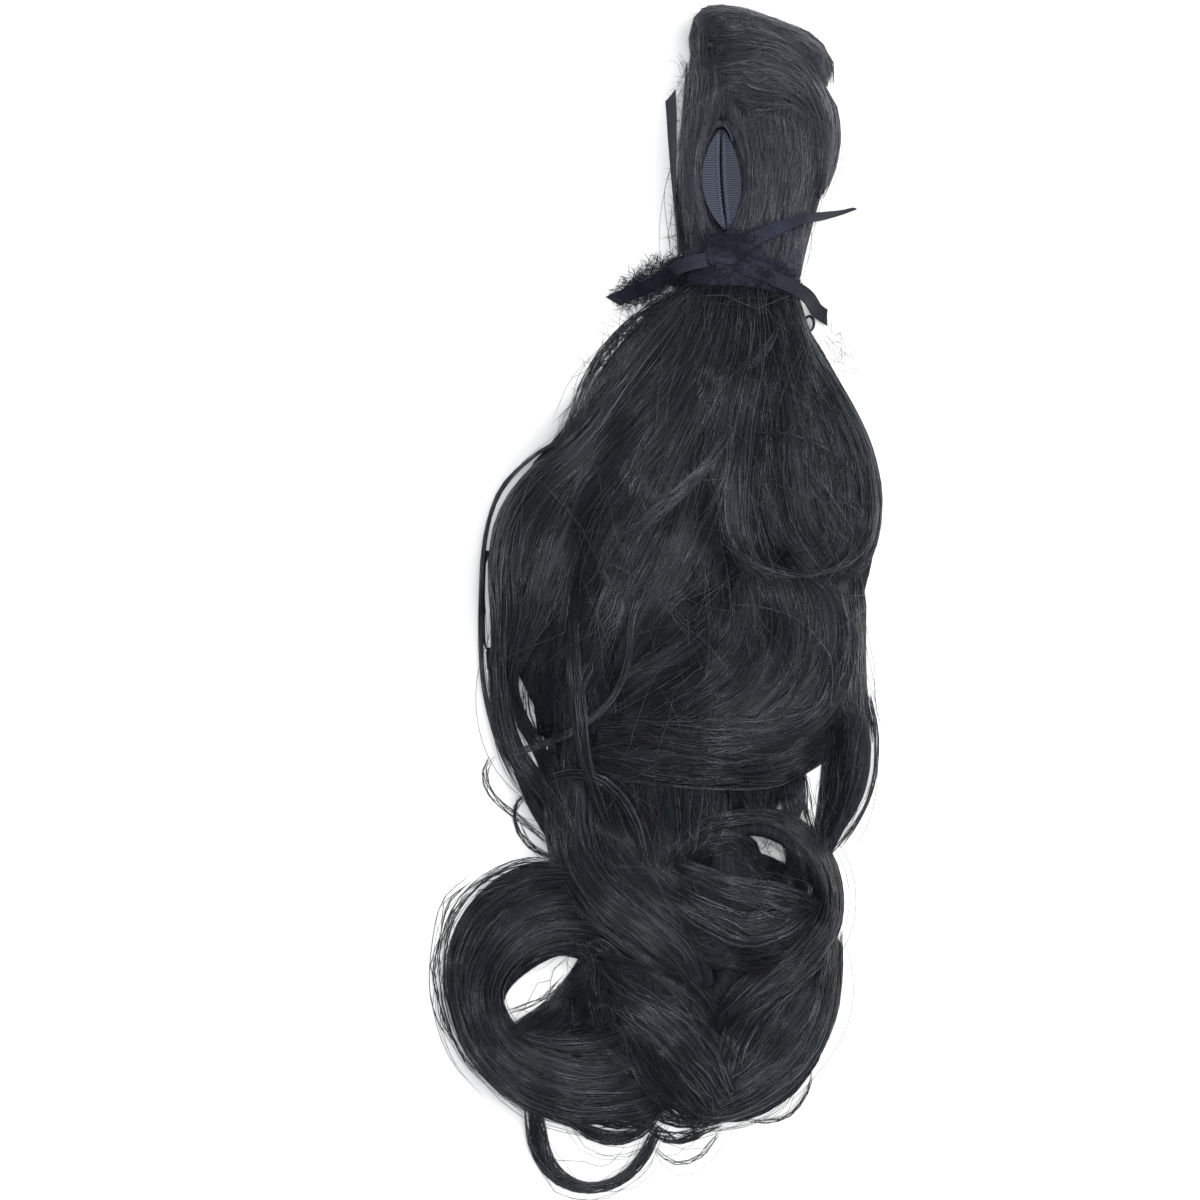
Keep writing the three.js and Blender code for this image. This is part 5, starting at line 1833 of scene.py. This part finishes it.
    def _loop(self, satin: Material) -> None:
        """Makes the small loop, ribbon folded back on itself and stood on its edge.

        Args:
            satin: The ribbon's finish.
        """
        low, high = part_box("ribbon_loop")
        middle = (low + high) / 2
        half = (high - low) / 2
        angle = np.linspace(0, 2 * math.pi, 56, endpoint=False)
        line = np.column_stack([middle.x + (half.x - 0.4 * MM) * np.cos(angle),
                                middle.y + (half.y - 0.4 * MM) * np.sin(angle),
                                middle.z + 0.3 * MM + 0.25 * MM * np.sin(2 * angle)])
        way = ring_way(line)
        side = square_to(way, (0, 0, 1))
        piece = Ribbon(width=6.0 * MM).strip("ribbon_loop_satin", line, side, np.cross(side, way),
                                             closed=True)
        dress(piece, satin, Slot.SATIN, "ribbon_loop")


@dataclass
class SlitTapes:
    """The two woven tapes that line the slit, each with a zigzag stitch along its inner edge."""

    along: int = 90
    across: int = 10
    thick: float = 0.6 * MM
    inner: float = 0.5 * MM
    dip: float = 1.8 * MM
    sway: float = 2.6 * MM
    stitch_pitch: float = 1.7 * MM
    stitch_reach: float = 1.5 * MM
    stitch_rise: float = 0.3 * MM
    thread: float = 0.21 * MM

    def build(self, tape: Material, thread: Material) -> None:
        """Makes both tapes and their stitches.

        Args:
            tape: Finish of the tape.
            thread: Finish of the thread.
        """
        left_low, left_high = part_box("slit_tape_left")
        right_low, right_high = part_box("slit_tape_right")
        centre = (left_low.x + right_high.x) / 2
        half = (right_high.x - left_low.x) / 2 + 1.3 * MM
        ends = (left_low.y - 1.2 * MM, left_high.y + 1.2 * MM)
        top = left_high.z - 0.2 * MM
        for name, sign in (("slit_tape_left", -1), ("slit_tape_right", 1)):
            self._tape(name, sign, centre, half, ends, top, tape)
            self._stitches(name, sign, centre, ends, top, thread)
        self._corner(centre, ends[1], left_high.z, tape)

    def _corner(self, centre: float, top: float, height: float, material: Material) -> None:
        """Folds a pale corner of tape over the slit's upper end.

        Args:
            centre: X of the slit's middle.
            top: Y of the slit's upper end.
            height: Height of the tape.
            material: Its finish.
        """
        line = np.array([[centre + 0.6 * MM, top + 1.4 * MM, height + 1.6 * MM],
                         [centre + 2.2 * MM, top - 0.4 * MM, height + 1.9 * MM],
                         [centre + 3.9 * MM, top - 3.0 * MM, height + 1.6 * MM],
                         [centre + 5.0 * MM, top - 6.5 * MM, height + 1.0 * MM]])
        line = smooth_line(line, 0.6 * MM, measured=3)
        way = unit(np.gradient(line, axis=0))
        side = beside(way)
        corner = Ribbon(width=0.8 * MM, thick=0.3 * MM, cup=0.1 * MM)
        piece = corner.strip("slit_corner", line, side, np.cross(side, way))
        dress(piece, material, Slot.TAPE)

    def _middle(self, share: Array) -> Array:
        """Gives how far the slit's middle leans to the right, at places along it from its foot."""
        return self.sway * (1 - share) ** 2 - 0.7 * MM * np.sin(math.pi * share)

    def _edge(self, share: Array) -> Array:
        """Gives the almond's half width, as a share, at places along it."""
        return np.sin(math.pi * share ** 0.92) ** 0.75

    def _tape(self, node: str, sign: int, centre: float, half: float, ends: tuple[float, float],
              top: float, material: Material) -> None:
        """Makes one tape.

        Args:
            node: The frame's solid that it stands for.
            sign: Its side, -1 or 1.
            centre: X of the slit's middle.
            half: Half the slit's width.
            ends: Y of the slit's ends.
            top: Height of its outer edge.
            material: Its finish.
        """
        share = np.linspace(0.015, 0.985, self.along)
        y = ends[0] + (ends[1] - ends[0]) * share
        outer = np.maximum(half * self._edge(share), self.inner + 0.3 * MM)
        inner = self.inner * np.minimum(1, 0.25 + 3 * np.minimum(share, 1 - share))
        lay = np.linspace(0, 1, self.across + 1)
        x = centre + self._middle(share)[:, None] + sign * (inner[:, None] + (outer - inner)[:, None] * lay)
        roll = 0.5 * MM * np.exp(-((lay - 0.05) / 0.12) ** 2)
        z = top - self.dip * (1 - lay) ** 1.6 + roll + 0.1 * MM * np.sin(60 * share)[:, None] * (1 - lay)
        high = np.stack([x, np.broadcast_to(y[:, None], x.shape), np.broadcast_to(z, x.shape)], axis=-1)
        low = high - np.array([0.0, 0.0, self.thick])
        points = np.concatenate([high, low[:, ::-1]], axis=1)
        sides = points.shape[1]
        quads = ring_faces(self.along, sides)
        cap = flat_cap(self.across)
        quads = np.vstack([quads, cap, cap[:, ::-1] + (self.along - 1) * sides])
        if sign > 0:
            quads = quads[:, ::-1]
        piece = make_object(node + "_weave", points.reshape(-1, 3), quads)
        set_flow(piece, points.reshape(-1, 3))
        dress(piece, material, Slot.TAPE, node)

    def _stitches(self, node: str, sign: int, centre: float, ends: tuple[float, float], top: float,
                  material: Material) -> None:
        """Sews the zigzag along a tape's inner edge.

        Args:
            node: Name of the tape.
            sign: Its side, -1 or 1.
            centre: X of the slit's middle.
            ends: Y of the slit's ends.
            top: Height of the tape's outer edge.
            material: The thread's finish.
        """
        first = ends[0] + 0.07 * (ends[1] - ends[0])
        last = ends[1] - 0.05 * (ends[1] - ends[0])
        count = int((last - first) / self.stitch_pitch)
        sheaf = Sheaf()
        floor = top - self.dip + 0.55 * MM
        for k in range(count):
            y = first + k * self.stitch_pitch
            middle = centre + float(self._middle(np.array((y - ends[0]) / (ends[1] - ends[0]))))
            near = middle + sign * (self.inner + 0.1 * MM)
            far = near + sign * self.stitch_reach
            turn = (far, y + 0.5 * self.stitch_pitch)
            for a, b in (((near, y), turn), (turn, (near, y + self.stitch_pitch))):
                share = np.linspace(0, 1, 5)
                x = a[0] + (b[0] - a[0]) * share
                run = a[1] + (b[1] - a[1]) * share
                climb = np.abs(x - middle) - self.inner
                z = floor + 0.32 * climb + self.stitch_rise * np.sin(math.pi * share)
                sheaf.add(np.stack([x, run, z], axis=-1)[None], np.full((1, 5), self.thread),
                          np.array([0.5]))
        dress(sheaf.make(node + "_stitches"), material, Slot.TAPE)


# The picture


@dataclass
class Studio:
    """The pale table top and the soft lights."""

    floor_side: float = 6.0

    def build(self) -> None:
        """Makes the floor, the lights and the dim room."""
        half = self.floor_side / 2
        corners = np.array([[-half, -half, 0], [half, -half, 0], [half, half, 0], [-half, half, 0]])
        floor = make_object("table_top", corners, np.array([[0, 1, 2, 3]]))
        floor.data.materials.append(FloorFinish("pale_table").make())
        floor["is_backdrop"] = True
        window = self._light("window", (1.5, 0.5, 2.0), (2.4, 2.4), 76.0, (1.0, 0.99, 0.975))
        window.visible_glossy = False
        self._light("ceiling", (-0.03, 0.05, 2.2), (0.5, 0.5), 26.0, (0.98, 0.99, 1.0))
        world = bpy.data.worlds.new("room")
        world.use_nodes = True
        ground = world.node_tree.nodes["Background"]
        ground.inputs["Color"].default_value = (0.9, 0.95, 1.0, 1.0)
        ground.inputs["Strength"].default_value = 0.3
        bpy.context.scene.world = world
        bpy.context.scene.view_settings.view_transform = "Standard"

    @staticmethod
    def _light(name: str, place: Row, size: Row, power: float, colour: Row) -> Object:
        """Hangs a soft light that faces the hair.

        Args:
            name: Its name.
            place: Where it hangs.
            size: Width and height.
            power: Watts.
            colour: Its colour.

        Returns:
            The light.
        """
        lamp = bpy.data.lights.new(name, "AREA")
        lamp.shape = "RECTANGLE"
        lamp.size, lamp.size_y = size
        lamp.energy = power
        lamp.color = colour
        holder = bpy.data.objects.new(name, lamp)
        bpy.context.scene.collection.objects.link(holder)
        holder.location = place
        holder.rotation_euler = (-Vector(place)).to_track_quat("-Z", "Y").to_euler()
        return holder


@dataclass
class PictureCamera:
    """Looks straight down, with the photograph's frame."""

    lens: float = 85.0
    sensor: float = 36.0
    hair_height: float = 10 * MM

    def build(self, plan: Plan) -> None:
        """Makes the camera.

        Args:
            plan: The plan.
        """
        data = bpy.data.cameras.new("camera")
        data.lens = self.lens
        data.sensor_width = self.sensor
        data.clip_start = 0.01
        camera = bpy.data.objects.new("camera", data)
        bpy.context.scene.collection.objects.link(camera)
        middle = plan.places(np.array([PICTURE_SIDE / 2]), np.array([PICTURE_SIDE / 2]))[0]
        distance = PICTURE_SIDE * plan.unit * self.lens / self.sensor
        camera.location = (middle[0], middle[1], self.hair_height + distance)
        bpy.context.scene.camera = camera


def main() -> None:
    """Builds the picture from the frame."""
    logging.basicConfig(level=logging.INFO, format="%(message)s")
    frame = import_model()
    low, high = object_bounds()
    plan = Plan.from_frame(low, high)
    PictureCamera().build(plan)
    satin = SatinFinish("navy_satin").make()
    felt = FeltFinish("navy_felt").make()
    # A paler copy of the navy satin: painted light, for the ribbon end that stands in the light.
    lit_satin_painted = SatinFinish("satin_painted_light", dark=(0.0340, 0.0370, 0.0460),
                             pale=(0.0580, 0.0620, 0.0740)).make()
    RibbonEnds().build(plan, satin, lit_satin_painted, felt)
    tail = TailHair().tables()
    base = BaseHair().tables()
    nodes = frame["nodes"]
    relief = Relief([nodes[name] for name in (*base, *tail, "tie_ribbon", "tie_knot")], low, high)
    Studio().build()
    Tie().build(Comb(plan, relief, 77), felt, satin)
    SlitTapes().build(TapeFinish("slate_tape").make(), ThreadFinish("sewing_thread").make())
    lock_finish = LockFinish("hair_lock").make()
    core_finish = CoreFinish("hair_depth").make()
    glossy = HairFinishes(StrandFinish("tail_strand").make(), lock_finish, core_finish)
    milky = HairFinishes(
        StrandFinish("base_strand", roughness=0.36, stops=MILKY_STOPS).make(),
        LockFinish("base_lock", dark=(0.0300, 0.0320, 0.0400), pale=(0.0580, 0.0600, 0.0720)).make(),
        CoreFinish("base_depth", dark=(0.0280, 0.0300, 0.0380), pale=(0.0500, 0.0520, 0.0630)).make())
    total = 0
    for seed, (node, locks) in enumerate({**base, **tail}.items()):
        finishes = milky if node in base else glossy
        total += Tress(node, locks, Comb(plan, relief, 100 + seed), finishes).build()
    LOG.info("strand triangles: %d", total)


if __name__ == "__main__":
    main()
